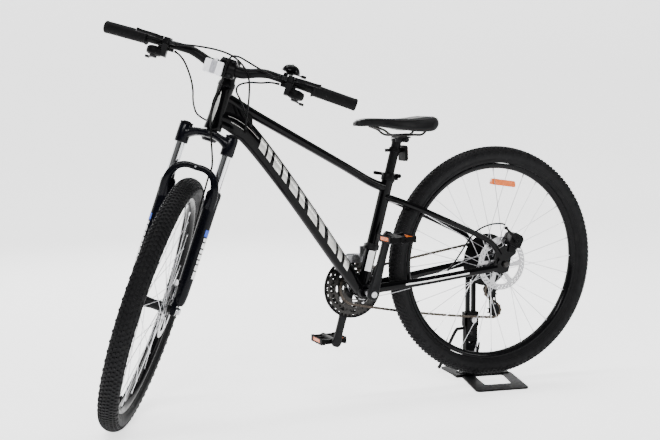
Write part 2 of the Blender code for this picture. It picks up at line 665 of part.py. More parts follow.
def rear_skewer():
    """Through axle rod with its nut on the left and the cam barrel on the right."""
    x, _, z = REAR_AXLE
    rod_body = rod((x, -0.0800, z), (x, 0.0790, z), AXLE_RADIUS, sides=14)
    nut = rod((x, -0.0835, z), (x, -0.0745, z), 0.0095, 0.0090, sides=12)
    collar = rod((x, 0.0745, z), (x, 0.0795, z), 0.0080, sides=12)
    part(weld([rod_body, nut, collar]), "rear_skewer", SATIN_STEEL)
    at = Vector((x, 0.0855, z))
    empty = pivot("rear_lever_axis", at)
    part(cam_lever(at, Vector((-0.036, 0.0, 0.044))), "rear_qr_lever", BLACK_ALLOY, empty, at)


# ---------------------------------------------------------------- disc brakes
def caliper(axle, angle, rotor_y, inner_y, outer_y, adapter):
    """Block that straddles the rotor's edge, with an adapter plate to its mount."""
    turn = Matrix.Rotation(math.radians(90 - angle), 4, "Y")
    body = box((-0.022, outer_y, 0.058), (0.022, inner_y, 0.098))
    body.matrix_basis = Matrix.Translation(axle) @ turn
    slot = rod(axle + Vector((0, rotor_y - 0.0018, 0)), axle + Vector((0, rotor_y + 0.0018, 0)),
               ROTOR_RADIUS + 0.0016, sides=36)
    return weld([body, adapter], [slot])


def brake_arm(name, at, empty, tip, y):
    """Actuating arm on the caliper's outer face; its tip takes the cable."""
    hub = rod((at.x, y + 0.0060, at.z), (at.x, y, at.z), 0.0100, sides=14)
    blade = tube([Vector((at.x, y + 0.003, at.z)), Vector(((at.x + tip.x) / 2, y + 0.003,
                 (at.z + tip.z) / 2)), Vector((tip.x, y + 0.003, tip.z))],
                 0.0028, [0.0028, 0.0028, 0.0028])
    clamp = rod((tip.x, y, tip.z), (tip.x, y + 0.0060, tip.z), 0.0052, sides=10)
    part(weld([hub, blade, clamp]), name, BLACK_ALLOY, empty, at)


def rear_brake():
    adapter = plate_xz(rounded([(0.008, 0.410), (0.028, 0.406), (0.046, 0.428), (0.016, 0.446)],
                               0.006), -0.0765, 0.0042)
    body = caliper(REAR_AXLE, 64.0, REAR_ROTOR_Y, -0.0420, -0.0830, adapter)
    part(body, "rear_caliper", BLACK_ALLOY)
    at = REAR_AXLE + direction(64.0) * 0.078 + Vector((0, -0.0866, 0))
    empty = pivot("rear_brake_arm_axis", at)
    tip = Vector((-0.006, 0.0, 0.4830))
    brake_arm("rear_brake_arm", at, empty, tip, -0.0896)
    route = [(-0.188, -0.0600, 0.3640), (-0.165, -0.0560, 0.3840), (-0.138, -0.0490, 0.4120),
             (-0.106, -0.0440, 0.4500), (-0.078, -0.0460, 0.4760), (-0.046, -0.0600, 0.4920),
             (-0.020, -0.0780, 0.4960), (-0.0085, -0.0868, 0.4925)]
    hose = tube(smooth_route(route, 3), CABLE_RADIUS)
    part(hose, "rear_brake_hose", HOUSING)


# ---------------------------------------------------------------- drivetrain
def crank_arm(side, angle):
    """Tapered arm with the pedal's axle screwed into its end."""
    along = direction(angle)
    inner, outer = side * 0.0690, side * 0.0825
    eye = BOTTOM_BRACKET + along * CRANK_LENGTH
    across = Vector((-along.z, 0.0, along.x))
    stations = ((-0.016, 0.0110), (-0.008, 0.0155), (0.010, 0.0160), (0.060, 0.0128),
                (0.130, 0.0112), (0.160, 0.0130), (0.178, 0.0115), (0.184, 0.0070))
    outline = [BOTTOM_BRACKET + along * reach + across * half for reach, half in stations]
    outline += [BOTTOM_BRACKET + along * reach - across * half for reach, half in reversed(stations)]
    blade = plate_xz([(point.x, point.z) for point in outline], (inner + outer) / 2,
                     abs(outer - inner))
    axle = rod(eye + Vector((0, side * 0.070, 0)), eye + Vector((0, side * 0.1725, 0)), 0.0055,
               0.0050, sides=10)
    collar = rod(eye + Vector((0, side * 0.080, 0)), eye + Vector((0, side * 0.0865, 0)), 0.0085,
                 sides=12)
    return [blade, axle, collar], eye


def cranks(empty):
    left, left_eye = crank_arm(-1, CRANK_ANGLE)
    x, _, z = BOTTOM_BRACKET
    left.append(rod((x, -0.0715, z), (x, -0.0590, z), 0.0150, sides=16))
    socket = rod((x, -0.0500, z), (x, -0.0700, z), 0.0090, sides=14)
    left_arm = weld(left, [socket])
    part(left_arm, "crank_left", BLACK_ALLOY, empty, BOTTOM_BRACKET)

    right, right_eye = crank_arm(1, CRANK_ANGLE + 180)
    right.append(rod((x, -0.0695, z), (x, 0.0750, z), 0.0085, sides=14))
    right.append(rod((x, 0.0655, z), (x, 0.0700, z), 0.0260, 0.0200, sides=18))
    for index in range(4):
        angle = CRANK_ANGLE + 45 + 90 * index
        reach = BOTTOM_BRACKET + direction(angle) * 0.0560
        right.append(rod((x, 0.0685, z), (reach.x, 0.0668, reach.z), 0.0055, 0.0044, sides=8))
    right_arm = weld(right)
    part(right_arm, "crank_right", BLACK_ALLOY, empty, BOTTOM_BRACKET)
    return left_eye, right_eye


def chainrings(empty):
    """Three rings and the outer guard on one carrier, open in the middle."""
    small, middle, large = (sprocket_body(teeth) for teeth in RING_TEETH)
    guard = 0.0913
    profile = [(0.0300, 0.0610), (guard, 0.0610), (guard, 0.0592), (large, 0.0592),
               (large, RING_Y[2] - 0.0010), (0.0560, RING_Y[2] - 0.0010),
               (0.0560, RING_Y[1] + 0.0010), (middle, RING_Y[1] + 0.0010),
               (middle, RING_Y[1] - 0.0010), (0.0420, RING_Y[1] - 0.0010),
               (0.0420, RING_Y[0] + 0.0010), (small, RING_Y[0] + 0.0010),
               (small, RING_Y[0] - 0.0010), (0.0300, RING_Y[0] - 0.0010), (0.0300, 0.0610)]
    rings = lathe(profile, 28, about_y(BOTTOM_BRACKET))
    part(rings, "chainrings", SATIN_STEEL, empty, BOTTOM_BRACKET)


def pedal(name, eye, side, crank_empty):
    """Cage pedal: two end plates and two treads round a bored barrel."""
    empty = pivot(name + "_axis", eye - BOTTOM_BRACKET, crank_empty)
    near, far = side * 0.0890, side * 0.1780
    low, high = min(near, far), max(near, far)
    x, _, z = eye
    frame_plate = box((x - 0.041, low, z - 0.0115), (x + 0.041, high, z + 0.0115))
    windows = []
    for centre in (x - 0.0235, x + 0.0235):
        windows.append(box((centre - 0.0115, low + 0.012, z - 0.03),
                           (centre + 0.0115, high - 0.012, z + 0.03)))
    for centre in (x - 0.041, x + 0.041):
        windows.append(box((centre - 0.003, low + 0.020, z - 0.0055),
                           (centre + 0.003, high - 0.020, z + 0.0055)))
    bore = rod((x, side * 0.08, z), (x, side * 0.1745, z), 0.0062, sides=12)
    body = weld([frame_plate], [*windows, bore])
    part(body, name, PLASTIC, empty, eye)


def belt(circles, sag=0.0):
    """Outline of a belt round (centre, radius, sense) circles; its last run hangs by sag.

    A sense of 1 keeps the circle inside the belt, -1 leaves it outside.
    """
    leave, arrive = [], []
    for first, second in zip(circles, circles[1:] + circles[:1]):
        line = Vector(second[0]) - Vector(first[0])
        offset = (first[2] * first[1] - second[2] * second[1]) / line.length
        normal = math.atan2(line.y, line.x) + math.acos(offset)
        leave.append(normal if first[2] > 0 else normal + math.pi)
        arrive.append(normal if second[2] > 0 else normal + math.pi)
    path = []
    for index, (centre, radius, sense) in enumerate(circles):
        start = arrive[index - 1]
        sweep = (leave[index] - start) % (2 * math.pi)
        if sense > 0:
            sweep -= 2 * math.pi
        steps = max(2, math.ceil(abs(sweep) / 0.30))
        for step in range(steps + 1):
            angle = start + sweep * step / steps
            path.append((centre[0] + radius * math.cos(angle),
                         centre[1] + radius * math.sin(angle)))
    run_start, run_end = Vector(path[-1]), Vector(path[0])
    for share in (0.25, 0.5, 0.75):
        hang = Vector((0.0, -sag * 4 * share * (1 - share)))
        path.append(tuple(run_start.lerp(run_end, share) + hang))
    return path


def chain():
    """One closed ribbon round the small ring, the second cog and both pulleys."""
    ring = (BOTTOM_BRACKET.x, BOTTOM_BRACKET.z), sprocket_radius(RING_TEETH[0])
    cog = (REAR_AXLE.x, REAR_AXLE.z), sprocket_radius(COG_TEETH[1])
    guide = (GUIDE_PULLEY.x, GUIDE_PULLEY.z), sprocket_radius(PULLEY_TEETH)
    tension = (TENSION_PULLEY.x, TENSION_PULLEY.z), sprocket_radius(PULLEY_TEETH)
    outlines = []
    for inset in (CHAIN_HALF_HEIGHT, -CHAIN_HALF_HEIGHT):
        wheels = [(ring[0], ring[1] + inset, 1), (cog[0], cog[1] + inset, 1),
                  (guide[0], guide[1] - inset, -1), (tension[0], tension[1] + inset, 1)]
        outlines.append(belt(wheels, CHAIN_SAG))
    ribbon = plate_xz(outlines[0], RING_Y[0], 2 * CHAIN_HALF_WIDTH, [outlines[1]])
    part(ribbon, "chain", SATIN_STEEL)


def front_derailleur():
    """Band clamp on the seat tube with a link body, and the cage that it swings."""
    low, high = seat_point(0.122), seat_point(0.138)
    band = rod(low, high, SEAT_TUBE_RADIUS + 0.0035, sides=20)
    bore = rod(seat_point(0.11), seat_point(0.15), SEAT_TUBE_RADIUS + 0.0004, sides=24)
    place = seat_point(0.130)
    lug = box(place + Vector((-0.026, -0.005, -0.005)), place + Vector((-0.016, 0.005, 0.005)))
    body = box(place + Vector((-0.012, 0.0150, -0.016)), place + Vector((0.014, 0.0290, 0.008)))
    part(weld([band, lug, body], [bore]), "front_derailleur", BLACK_ALLOY)

    at = Vector((-0.4150, 0.0325, 0.4400))
    empty = pivot("front_derailleur_axis", at)
    link = box((-0.4280, 0.0298, 0.4100), (-0.4040, 0.0345, 0.4405))
    bridge = box((-0.4320, 0.0300, 0.4100), (-0.4000, 0.0545, 0.4160))
    inner = plate_xz([(-0.474, 0.400), (-0.462, 0.414), (-0.400, 0.416), (-0.385, 0.396),
                      (-0.400, 0.392), (-0.440, 0.393), (-0.466, 0.392)], 0.0350, 0.0014)
    outer = plate_xz([(-0.472, 0.409), (-0.458, 0.417), (-0.402, 0.416), (-0.392, 0.402),
                      (-0.404, 0.4035), (-0.440, 0.4105), (-0.462, 0.4075)], 0.0540, 0.0014)
    part(weld([link, bridge, inner, outer]), "fd_cage", SATIN_STEEL, empty, at)


def rear_derailleur():
    """Mount knuckle, swinging body, cage and two pulleys."""
    hanger = Vector((0.0070, 0.0, 0.3390))
    stub = rod((hanger.x, 0.0690, hanger.z), (hanger.x, 0.0760, hanger.z), 0.0040, sides=12)
    knuckle = rod((hanger.x, 0.0745, hanger.z), (hanger.x, 0.0860, hanger.z), 0.0115, sides=16)
    ear = box((0.0060, 0.0750, 0.3150), (0.0260, 0.0850, 0.3370))
    part(weld([stub, knuckle, ear]), "rd_mount", BLACK_ALLOY)

    body_at = Vector((0.0280, 0.0770, 0.3120))
    body_empty = pivot("rd_body_axis", body_at)
    upper = box((0.0275, 0.0690, 0.3060), (0.0420, 0.0840, 0.3145))
    link = box((0.0150, 0.0690, 0.2750), (0.0400, 0.0730, 0.3115))
    barrel = rod((GUIDE_PULLEY.x, 0.0530, GUIDE_PULLEY.z), (GUIDE_PULLEY.x, 0.0740, GUIDE_PULLEY.z),
                 0.0120, sides=16)
    part(weld([link, upper, barrel]), "rd_body", BLACK_ALLOY, body_empty, body_at)

    cage_empty = pivot("rd_cage_axis", GUIDE_PULLEY - body_at, body_empty)
    plates = []
    for y in (0.0364, 0.0506):
        plates.append(rod((GUIDE_PULLEY.x, y - 0.0007, GUIDE_PULLEY.z),
                          (GUIDE_PULLEY.x, y + 0.0007, GUIDE_PULLEY.z), 0.0120, sides=16))
        plates.append(rod((TENSION_PULLEY.x, y - 0.0007, TENSION_PULLEY.z),
                          (TENSION_PULLEY.x, y + 0.0007, TENSION_PULLEY.z), 0.0120, sides=16))
        middle = (GUIDE_PULLEY + TENSION_PULLEY) / 2
        slope = math.atan2(TENSION_PULLEY.x - GUIDE_PULLEY.x, GUIDE_PULLEY.z - TENSION_PULLEY.z)
        bar = box((-0.0075, y - 0.0007, -0.031), (0.0075, y + 0.0007, 0.031))
        bar.matrix_basis = (Matrix.Translation((middle.x, 0, middle.z))
                            @ Matrix.Rotation(-slope, 4, "Y"))
        plates.append(bar)
    for place in (GUIDE_PULLEY, TENSION_PULLEY):
        plates.append(rod((place.x, 0.0360, place.z), (place.x, 0.0510, place.z), 0.0025, sides=10))
    part(weld(plates), "rd_cage", BLACK_ALLOY, cage_empty, GUIDE_PULLEY)

    for name, place in (("rd_guide_pulley", GUIDE_PULLEY), ("rd_tension_pulley", TENSION_PULLEY)):
        radius = sprocket_body(PULLEY_TEETH)
        profile = [(0.0032, 0.0045), (0.0070, 0.0045), (0.0070, 0.0012), (radius, 0.0012),
                   (radius, -0.0012), (0.0070, -0.0012), (0.0070, -0.0045), (0.0032, -0.0045),
                   (0.0032, 0.0045)]
        empty = pivot(name + "_axis", place - GUIDE_PULLEY, cage_empty)
        part(lathe(profile, 14, about_y(place)), name, PLASTIC, empty, place)


# ---------------------------------------------------------------- steering frame
def fork_upper(steering):
    """Steerer, crown and the two stanchions, pressed together for good."""
    steerer = rod((0, 0, -0.020), (0, 0, 0.2030), 0.0143, sides=18)
    race = rod((0, 0, -0.004), (0, 0, 0.0055), 0.0225, 0.0205, sides=18)
    half = [(0.0790, -0.046), (0.0800, -0.008), (0.0720, -0.0020), (0.0540, -0.0060),
            (0.0240, -0.0020)]
    under = [(0.0240, -0.0225), (0.0380, -0.0265), (0.0460, -0.0350), (0.0480, -0.046)]
    outline = [*half, *[(-y, z) for y, z in reversed(half)],
               *[(-y, z) for y, z in reversed(under)], *under]
    crown = plate_yz(outline, -FORK_OFFSET, 0.028)
    bridge = box((-0.0575, -0.0240, -0.0225), (0.0150, 0.0240, -0.0010))
    pieces = [crown, steerer, race, bridge]
    for side in (-1, 1):
        pieces.append(rod((-FORK_OFFSET, side * STANCHION_Y, 0.0045),
                          (-FORK_OFFSET, side * STANCHION_Y, -0.0470), 0.0180, sides=16))
        pieces.append(rod((-FORK_OFFSET, side * STANCHION_Y, -0.0400),
                          (-FORK_OFFSET, side * STANCHION_Y, -0.3600), STANCHION_RADIUS, sides=16))
    part(weld(pieces), "fork_upper", CHROME, steering)


def fork_lowers(empty, at):
    """Both lower legs, the arch over the tyre, the axle ends and the brake tab."""
    pieces, cuts = [], []
    for side in (-1, 1):
        y = side * STANCHION_Y
        leg = [(0.0, -0.1480), (0.0185, -0.1480), (0.0198, -0.1520), (0.0198, -0.1640),
               (0.0188, -0.1700), (0.0186, -0.3000), (0.0172, -0.4300), (0.0136, -0.4560),
               (0.0, -0.4620)]
        pieces.append(lathe(leg, 16, Matrix.Translation((-FORK_OFFSET, y, 0))))
        cuts.append(rod((-FORK_OFFSET, y, -0.4480), (-FORK_OFFSET, y, -0.0500),
                        STANCHION_RADIUS + 0.0010, sides=16))
        low, high = sorted((side * 0.0485, side * 0.0615))
        pieces.append(box((-FORK_OFFSET - 0.0125, low, -0.4890), (-FORK_OFFSET + 0.0125, high, -0.4420)))
    half = [(0.0760, -0.1560), (0.0740, -0.1310), (0.0600, -0.1070), (0.0420, -0.0950)]
    under = [(0.0320, -0.1090), (0.0430, -0.1180), (0.0500, -0.1340), (0.0520, -0.1560)]
    outline = [*half, *[(-y, z) for y, z in reversed(half)],
               *[(-y, z) for y, z in reversed(under)], *under]
    pieces.append(plate_yz(outline, -0.0720, 0.0150))
    for side in (-1, 1):
        pieces.append(tube([Vector((-0.0700, side * 0.0640, -0.1450)),
                            Vector((-0.0640, side * 0.0640, -0.1700)),
                            Vector((-0.0520, side * 0.0635, -0.2050))], 0.0110,
                           [0.0105, 0.0125, 0.0110]))
    x, z = FRONT_AXLE.x, FRONT_AXLE.z
    pieces.append(rod((x, -0.0680, z), (x, 0.0650, z), AXLE_RADIUS, sides=14))
    pieces.append(rod((x, -0.0740, z), (x, -0.0605, z), 0.0095, sides=12))
    pieces.append(rod((x, 0.0605, z), (x, 0.0665, z), 0.0080, sides=12))
    pieces.append(box((-0.0400, -0.0680, -0.4320), (-0.0120, -0.0620, -0.3900)))
    part(weld(pieces, cuts), "fork_lowers", BLACK_PAINT, empty, at)


def front_brake(empty, at):
    adapter = plate_xz(rounded([(-0.0240, -0.4330), (-0.0240, -0.3980), (0.0020, -0.4020),
                                (0.0180, -0.4280)], 0.005), -0.0600, 0.0034)
    body = caliper(FRONT_AXLE, 28.0, FRONT_ROTOR_Y, -0.0270, -0.0615, adapter)
    part(body, "front_caliper", BLACK_ALLOY, empty, at)
    pivot_at = FRONT_AXLE + direction(28.0) * 0.078 + Vector((0, -0.0650, 0))
    arm_empty = pivot("front_brake_arm_axis", pivot_at - at, empty)
    tip = pivot_at + Vector((-0.0290, 0.0, 0.0350))
    brake_arm("front_brake_arm", pivot_at, arm_empty, tip, -0.0680)


def front_lever(empty, at):
    place = Vector((FRONT_AXLE.x, 0.0728, FRONT_AXLE.z))
    lever_empty = pivot("front_lever_axis", place - at, empty)
    lever = cam_lever(place, Vector((0.040, 0.0, 0.040)))
    part(lever, "front_qr_lever", BLACK_ALLOY, lever_empty, place)


def front_wheel(empty):
    profile = [(0.0, 0.0480), (0.0090, 0.0480), (0.0090, 0.0380), (0.0180, 0.0365),
               (0.0280, 0.0320), (0.0280, 0.0290), (0.0150, 0.0260), (0.0130, 0.0),
               (0.0150, -0.0240), (0.0280, -0.0270), (0.0280, -0.0300), (0.0180, -0.0320),
               (0.0180, -0.0420), (0.0100, -0.0435), (0.0090, -0.0480), (0.0, -0.0480)]
    wheel("front", empty, FRONT_AXLE, profile, (-0.0285, 0.0305), 0.0250, FRONT_ROTOR_Y)


def stem(steering):
    clamp = rod((0, 0, 0.1600), (0, 0, 0.2040), 0.0198, sides=18)
    arm = rod((0.0, 0, 0.1830), (BAR_CENTRE.x, 0, BAR_CENTRE.z + 0.001), 0.0175, 0.0165, sides=14)
    jaw = rod(BAR_CENTRE + Vector((0, -0.0230, 0)), BAR_CENTRE + Vector((0, 0.0230, 0)), 0.0232,
              sides=18)
    bore = rod((0, 0, 0.1500), (0, 0, 0.2034), 0.0148, sides=18)
    bar_bore = rod(BAR_CENTRE + Vector((0, -0.04, 0)), BAR_CENTRE + Vector((0, 0.04, 0)),
                   BAR_CLAMP_RADIUS + 0.0007, sides=18)
    part(weld([clamp, arm, jaw], [bore, bar_bore]), "stem", BLACK_ALLOY, steering)


def bar_point(side, reach):
    """A point on the straight outer part of the bar, reach metres from the middle."""
    share = (reach - BAR_KNEE.y) / (BAR_END.y - BAR_KNEE.y)
    point = BAR_KNEE.lerp(BAR_END, share)
    return Vector((point.x, side * point.y, point.z))


def handlebar(steering):
    half = [(BAR_CENTRE.x, 0.0, BAR_CENTRE.z, BAR_CLAMP_RADIUS),
            (BAR_CENTRE.x, 0.030, BAR_CENTRE.z, BAR_CLAMP_RADIUS),
            (BAR_CENTRE.x, 0.044, BAR_CENTRE.z + 0.001, 0.0148),
            (BAR_CENTRE.x - 0.001, 0.058, BAR_CENTRE.z + 0.0045, 0.0130),
            (BAR_CENTRE.x - 0.001, 0.078, BAR_CENTRE.z + 0.0115, 0.0124),
            (BAR_CENTRE.x - 0.001, 0.098, BAR_CENTRE.z + 0.0165, 0.0119),
            (*BAR_KNEE, BAR_RADIUS), (*BAR_END, BAR_RADIUS)]
    stations = [(x, -y, z, radius) for x, y, z, radius in reversed(half[1:])] + half
    bar = tube([Vector(station[:3]) for station in stations], BAR_RADIUS,
               [station[3] for station in stations], 4)
    part(bar, "handlebar", BLACK_PAINT, steering)


def grip(side, name, steering):
    inner, outer = bar_point(side, 0.228), bar_point(side, 0.3495)
    body = rod(inner, outer, 0.0164, sides=16)
    flange = rod(inner, bar_point(side, 0.232), 0.0185, sides=16)
    bore = rod(bar_point(side, 0.20), bar_point(side, 0.3462), BAR_RADIUS + 0.0006, sides=18)
    part(weld([body, flange], [bore]), name, RUBBER, steering)


def control(side, prefix, steering):
    """Brake perch and shifter pod on one clamp, with the lever and thumb paddle."""
    low, high = bar_point(side, 0.163), bar_point(side, 0.177)
    middle = bar_point(side, 0.170)
    ring = rod(low, high, 0.0158, sides=16)
    perch = box(middle + Vector((-0.0400, -0.0090, -0.0060)), middle + Vector((-0.0110, 0.0090, 0.0120)))
    barrel = rod(middle + Vector((-0.0300, 0.0, 0.001)), middle + Vector((-0.0300, -side * 0.024, 0.001)),
                 0.0050, sides=10)
    pod_centre = middle + Vector((-0.0220, side * 0.024, -0.0320))
    neck = box(middle + Vector((-0.0330, -0.0080, -0.0400)), middle + Vector((-0.0140, 0.0080, 0.0)))
    pod = rod(pod_centre + Vector((0, 0, -0.010)), pod_centre + Vector((0, 0, 0.0105)), 0.0215, sides=14)
    exit_at = middle + Vector((-0.0220, 0.0, -0.0170))
    nipple = rod(exit_at, exit_at + Vector((0, -side * 0.024, 0)), 0.0045, sides=10)
    bore = rod(bar_point(side, 0.15), bar_point(side, 0.19), BAR_RADIUS + 0.0006, sides=16)
    part(weld([ring, perch, barrel, neck, pod, nipple], [bore]), prefix + "_control", PLASTIC, steering)

    at = middle + Vector((-0.0330, side * 0.0140, 0.0050))
    lever_empty = pivot(prefix + "_lever_axis", at, steering)
    hub = rod(at + Vector((0, 0, -0.0048)), at + Vector((0, 0, 0.0060)), 0.0042, sides=12)
    blade_line = [(0.0, 0.0), (-0.0090, 0.014), (-0.0130, 0.030), (-0.0110, 0.048), (-0.0140, 0.064)]
    blade = tube([at + Vector((x, side * y, 0.0006)) for x, y in blade_line], 0.0045,
                 [0.0042, 0.0048, 0.0046, 0.0042, 0.0052])
    part(weld([hub, blade]), prefix + "_brake_lever", SATIN_STEEL, lever_empty, at)

    paddle_at = pod_centre + Vector((0, 0, -0.0150))
    paddle_empty = pivot(prefix + "_paddle_axis", paddle_at, steering)
    disc = rod(paddle_at + Vector((0, 0, -0.0020)), paddle_at + Vector((0, 0, 0.0030)), 0.0100, sides=14)
    tip = paddle_at + Vector((0.0230, side * 0.0190, -0.0010))
    thumb = box(tip - Vector((0.0070, 0.0060, 0.0030)), tip + Vector((0.0070, 0.0060, 0.0030)))
    stalk = rod(paddle_at, tip, 0.0030, 0.0028, sides=8)
    part(weld([disc, stalk, thumb]), prefix + "_shift_paddle", SATIN_STEEL, paddle_empty, paddle_at)


def bell(steering):
    """Dome on a bar clamp, and the thumb striker that turns about the dome's axis."""
    middle = bar_point(-1, 0.150)
    ring = rod(bar_point(-1, 0.145), bar_point(-1, 0.156), 0.0150, sides=16)
    bore = rod(bar_point(-1, 0.135), bar_point(-1, 0.165), BAR_RADIUS + 0.0006, sides=16)
    top = middle + Vector((0.0, -0.011, 0.0))
    saddle = box(middle + Vector((-0.0065, -0.0062, 0.0110)), middle + Vector((0.0065, 0.0050, 0.0185)))
    seat = box(middle + Vector((-0.0060, -0.0170, 0.0165)), middle + Vector((0.0060, 0.0040, 0.0195)))
    post = rod(top + Vector((0, 0, 0.0170)), top + Vector((0, 0, 0.0300)), 0.0050, sides=12)
    dome = [(0.0, 0.0440), (0.0110, 0.0428), (0.0200, 0.0372), (0.0250, 0.0260), (0.0250, 0.0240),
            (0.0230, 0.0240), (0.0210, 0.0290), (0.0, 0.0290)]
    shell = lathe(dome, 18, Matrix.Translation(top))
    part(weld([ring, saddle, seat, post, shell], [bore]), "bell", BLACK_ALLOY, steering)
    at = top + Vector((0, 0, 0.0214))
    empty = pivot("bell_lever_axis", at, steering)
    hub = rod(at + Vector((0, 0, -0.0014)), at + Vector((0, 0, 0.0014)), 0.0120, sides=16)
    hole = rod(at + Vector((0, 0, -0.01)), at + Vector((0, 0, 0.01)), 0.0064, sides=14)
    arm = box(at + Vector((-0.0040, -0.0330, -0.0014)), at + Vector((0.0040, -0.0100, 0.0014)))
    thumb = box(at + Vector((-0.0050, -0.0430, -0.0035)), at + Vector((0.0050, -0.0300, 0.0035)))
    part(weld([hub, arm, thumb], [hole]), "bell_lever", PLASTIC, empty, at)


def front_reflector(steering):
    """Reflector housing on a clamp round the bar, beside the stem."""
    ring = rod(BAR_CENTRE + Vector((0, 0.0290, 0)), BAR_CENTRE + Vector((0, 0.0370, 0)), 0.0192,
               sides=16)
    bore = rod(BAR_CENTRE + Vector((0, 0.0250, 0)), BAR_CENTRE + Vector((0, 0.0410, 0)), 0.0168,
               sides=16)
    stalk = box((-0.1050, 0.0290, 0.156), (-0.0935, 0.0370, 0.170))
    housing = box((-0.1120, 0.0070, 0.1440), (-0.1025, 0.0570, 0.1800))
    part(weld([ring, stalk, housing], [bore]), "front_reflector", WHITE_LENS, steering)


# ---------------------------------------------------------------- control cables
def from_bar(reach, side_y, height):
    """World place of a point given as forward, rider's left and up from the crown race."""
    return STEERING_MATRIX @ Vector((-reach, -side_y, height))


def cables(steering):
    """Four housings, each from its control to its port in the down tube or its brake."""
    rear_brake = [from_bar(0.0991, -0.1440, 0.1903), from_bar(0.1050, -0.120, 0.1950),
                  from_bar(0.1120, -0.085, 0.2005), from_bar(0.1180, -0.039, 0.2050),
                  from_bar(0.1170, 0.000, 0.2040), from_bar(0.1120, 0.030, 0.1940),
                  from_bar(0.1020, 0.052, 0.1780), Vector((-0.8190, -0.1280, 0.9120)),
                  Vector((-0.8095, -0.1000, 0.8780)), Vector((-0.8030, -0.0720, 0.8460)),
                  Vector((-0.8000, -0.0480, 0.8120)), Vector((-0.7945, -0.0285, 0.7810))]
    rear_shift = [from_bar(0.0911, -0.1440, 0.1723), from_bar(0.0910, -0.127, 0.1660),
                  from_bar(0.0880, -0.1080, 0.1510), from_bar(0.0700, -0.0860, 0.1210),
                  from_bar(0.0400, -0.0760, 0.0960), from_bar(0.0000, -0.0750, 0.0770),
                  from_bar(-0.0400, -0.0720, 0.0610), Vector((-0.8950, 0.0780, 0.8250)),
                  Vector((-0.8700, 0.0560, 0.8060)), Vector((-0.8400, 0.0380, 0.7960)),
                  Vector((-0.8120, 0.0268, 0.7900))]
    front_brake = [from_bar(0.0991, 0.1435, 0.1903), from_bar(0.1050, 0.124, 0.1850),
                   from_bar(0.1060, 0.084, 0.1930), from_bar(0.1080, 0.050, 0.2010),
                   from_bar(0.1100, 0.022, 0.2060), from_bar(0.1110, 0.004, 0.1980),
                   from_bar(0.1080, -0.0005, 0.1650), from_bar(0.0880, -0.002, 0.1200),
                   from_bar(0.0660, -0.0110, 0.0800), from_bar(0.0550, -0.0040, 0.0350),
                   from_bar(0.0640, 0.0160, -0.0200), from_bar(0.0560, 0.0365, -0.0800),
                   from_bar(0.0480, 0.0360, -0.1200), from_bar(0.0280, 0.0355, -0.1700),
                   from_bar(0.0160, 0.0370, -0.2300), from_bar(0.0060, 0.0420, -0.2900),
                   from_bar(0.0030, 0.0530, -0.3450), from_bar(0.0035, 0.0648, -0.3955)]
    front_shift = [from_bar(0.0911, 0.1440, 0.1723), from_bar(0.0860, 0.120, 0.1700),
                   from_bar(0.0680, 0.095, 0.1640), from_bar(0.0480, 0.062, 0.1580),
                   from_bar(0.0400, 0.038, 0.1450), Vector((-0.8270, -0.0500, 0.8880)),
                   Vector((-0.8110, -0.0410, 0.8600)), Vector((-0.7980, -0.0350, 0.8280)),
                   Vector((-0.7840, -0.0285, 0.8000))]
    routes = {"cable_rear_brake": rear_brake, "cable_rear_shift": rear_shift,
              "cable_front_brake": front_brake, "cable_front_shift": front_shift}
    for name, route in routes.items():
        inside = STEERING_MATRIX.inverted()
        points = [inside @ point for point in smooth_route(route, 2)]
        part(tube(points, CABLE_RADIUS), name, HOUSING, steering)


# ---------------------------------------------------------------- assembly
def assemble_steering():
    steering = frame_empty("steering_axis", STEERING_MATRIX)
    fork_upper(steering)
    stem(steering)
    handlebar(steering)
    for side, prefix in ((-1, "left"), (1, "right")):
        grip(side, prefix + "_grip", steering)
        control(side, prefix, steering)
    bell(steering)
    front_reflector(steering)
    cables(steering)
    travel_at = Vector((-FORK_OFFSET, 0.0, -0.1480))
    travel = pivot("fork_travel_axis", travel_at, steering)
    fork_lowers(travel, travel_at)
    front_brake(travel, travel_at)
    front_lever(travel, travel_at)
    axle = pivot("front_axle_axis", FRONT_AXLE - travel_at, travel)
    front_wheel(axle)


def assemble():
    stand_base()
    stand_upright()
    stand_knob()
    stand_brace()
    frame()
    seat_quick_release(seat_collar())
    seat_group()
    rear_wheel()
    cassette()
    rear_skewer()
    rear_brake()
    crank_empty = pivot("crank_axis", BOTTOM_BRACKET)
    left_eye, right_eye = cranks(crank_empty)
    chainrings(crank_empty)
    pedal("left_pedal", left_eye, -1, crank_empty)
    pedal("right_pedal", right_eye, 1, crank_empty)
    chain()
    front_derailleur()
    rear_derailleur()
    assemble_steering()


def move_to_origin():
    """Shift everything that has no parent so the stand's mount lies at the origin."""
    for obj in PARTS.objects:
        if obj.parent is None:
            obj.matrix_basis = Matrix.Translation(-STAND_MOUNT) @ obj.matrix_basis


assemble()
move_to_origin()
bpy.context.view_layer.update()
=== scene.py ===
"""Looks of a hardtail bicycle held on a black rear stand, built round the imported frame."""
import json
import math

import bmesh
import bpy
import numpy as np
from mathutils import Matrix, Vector

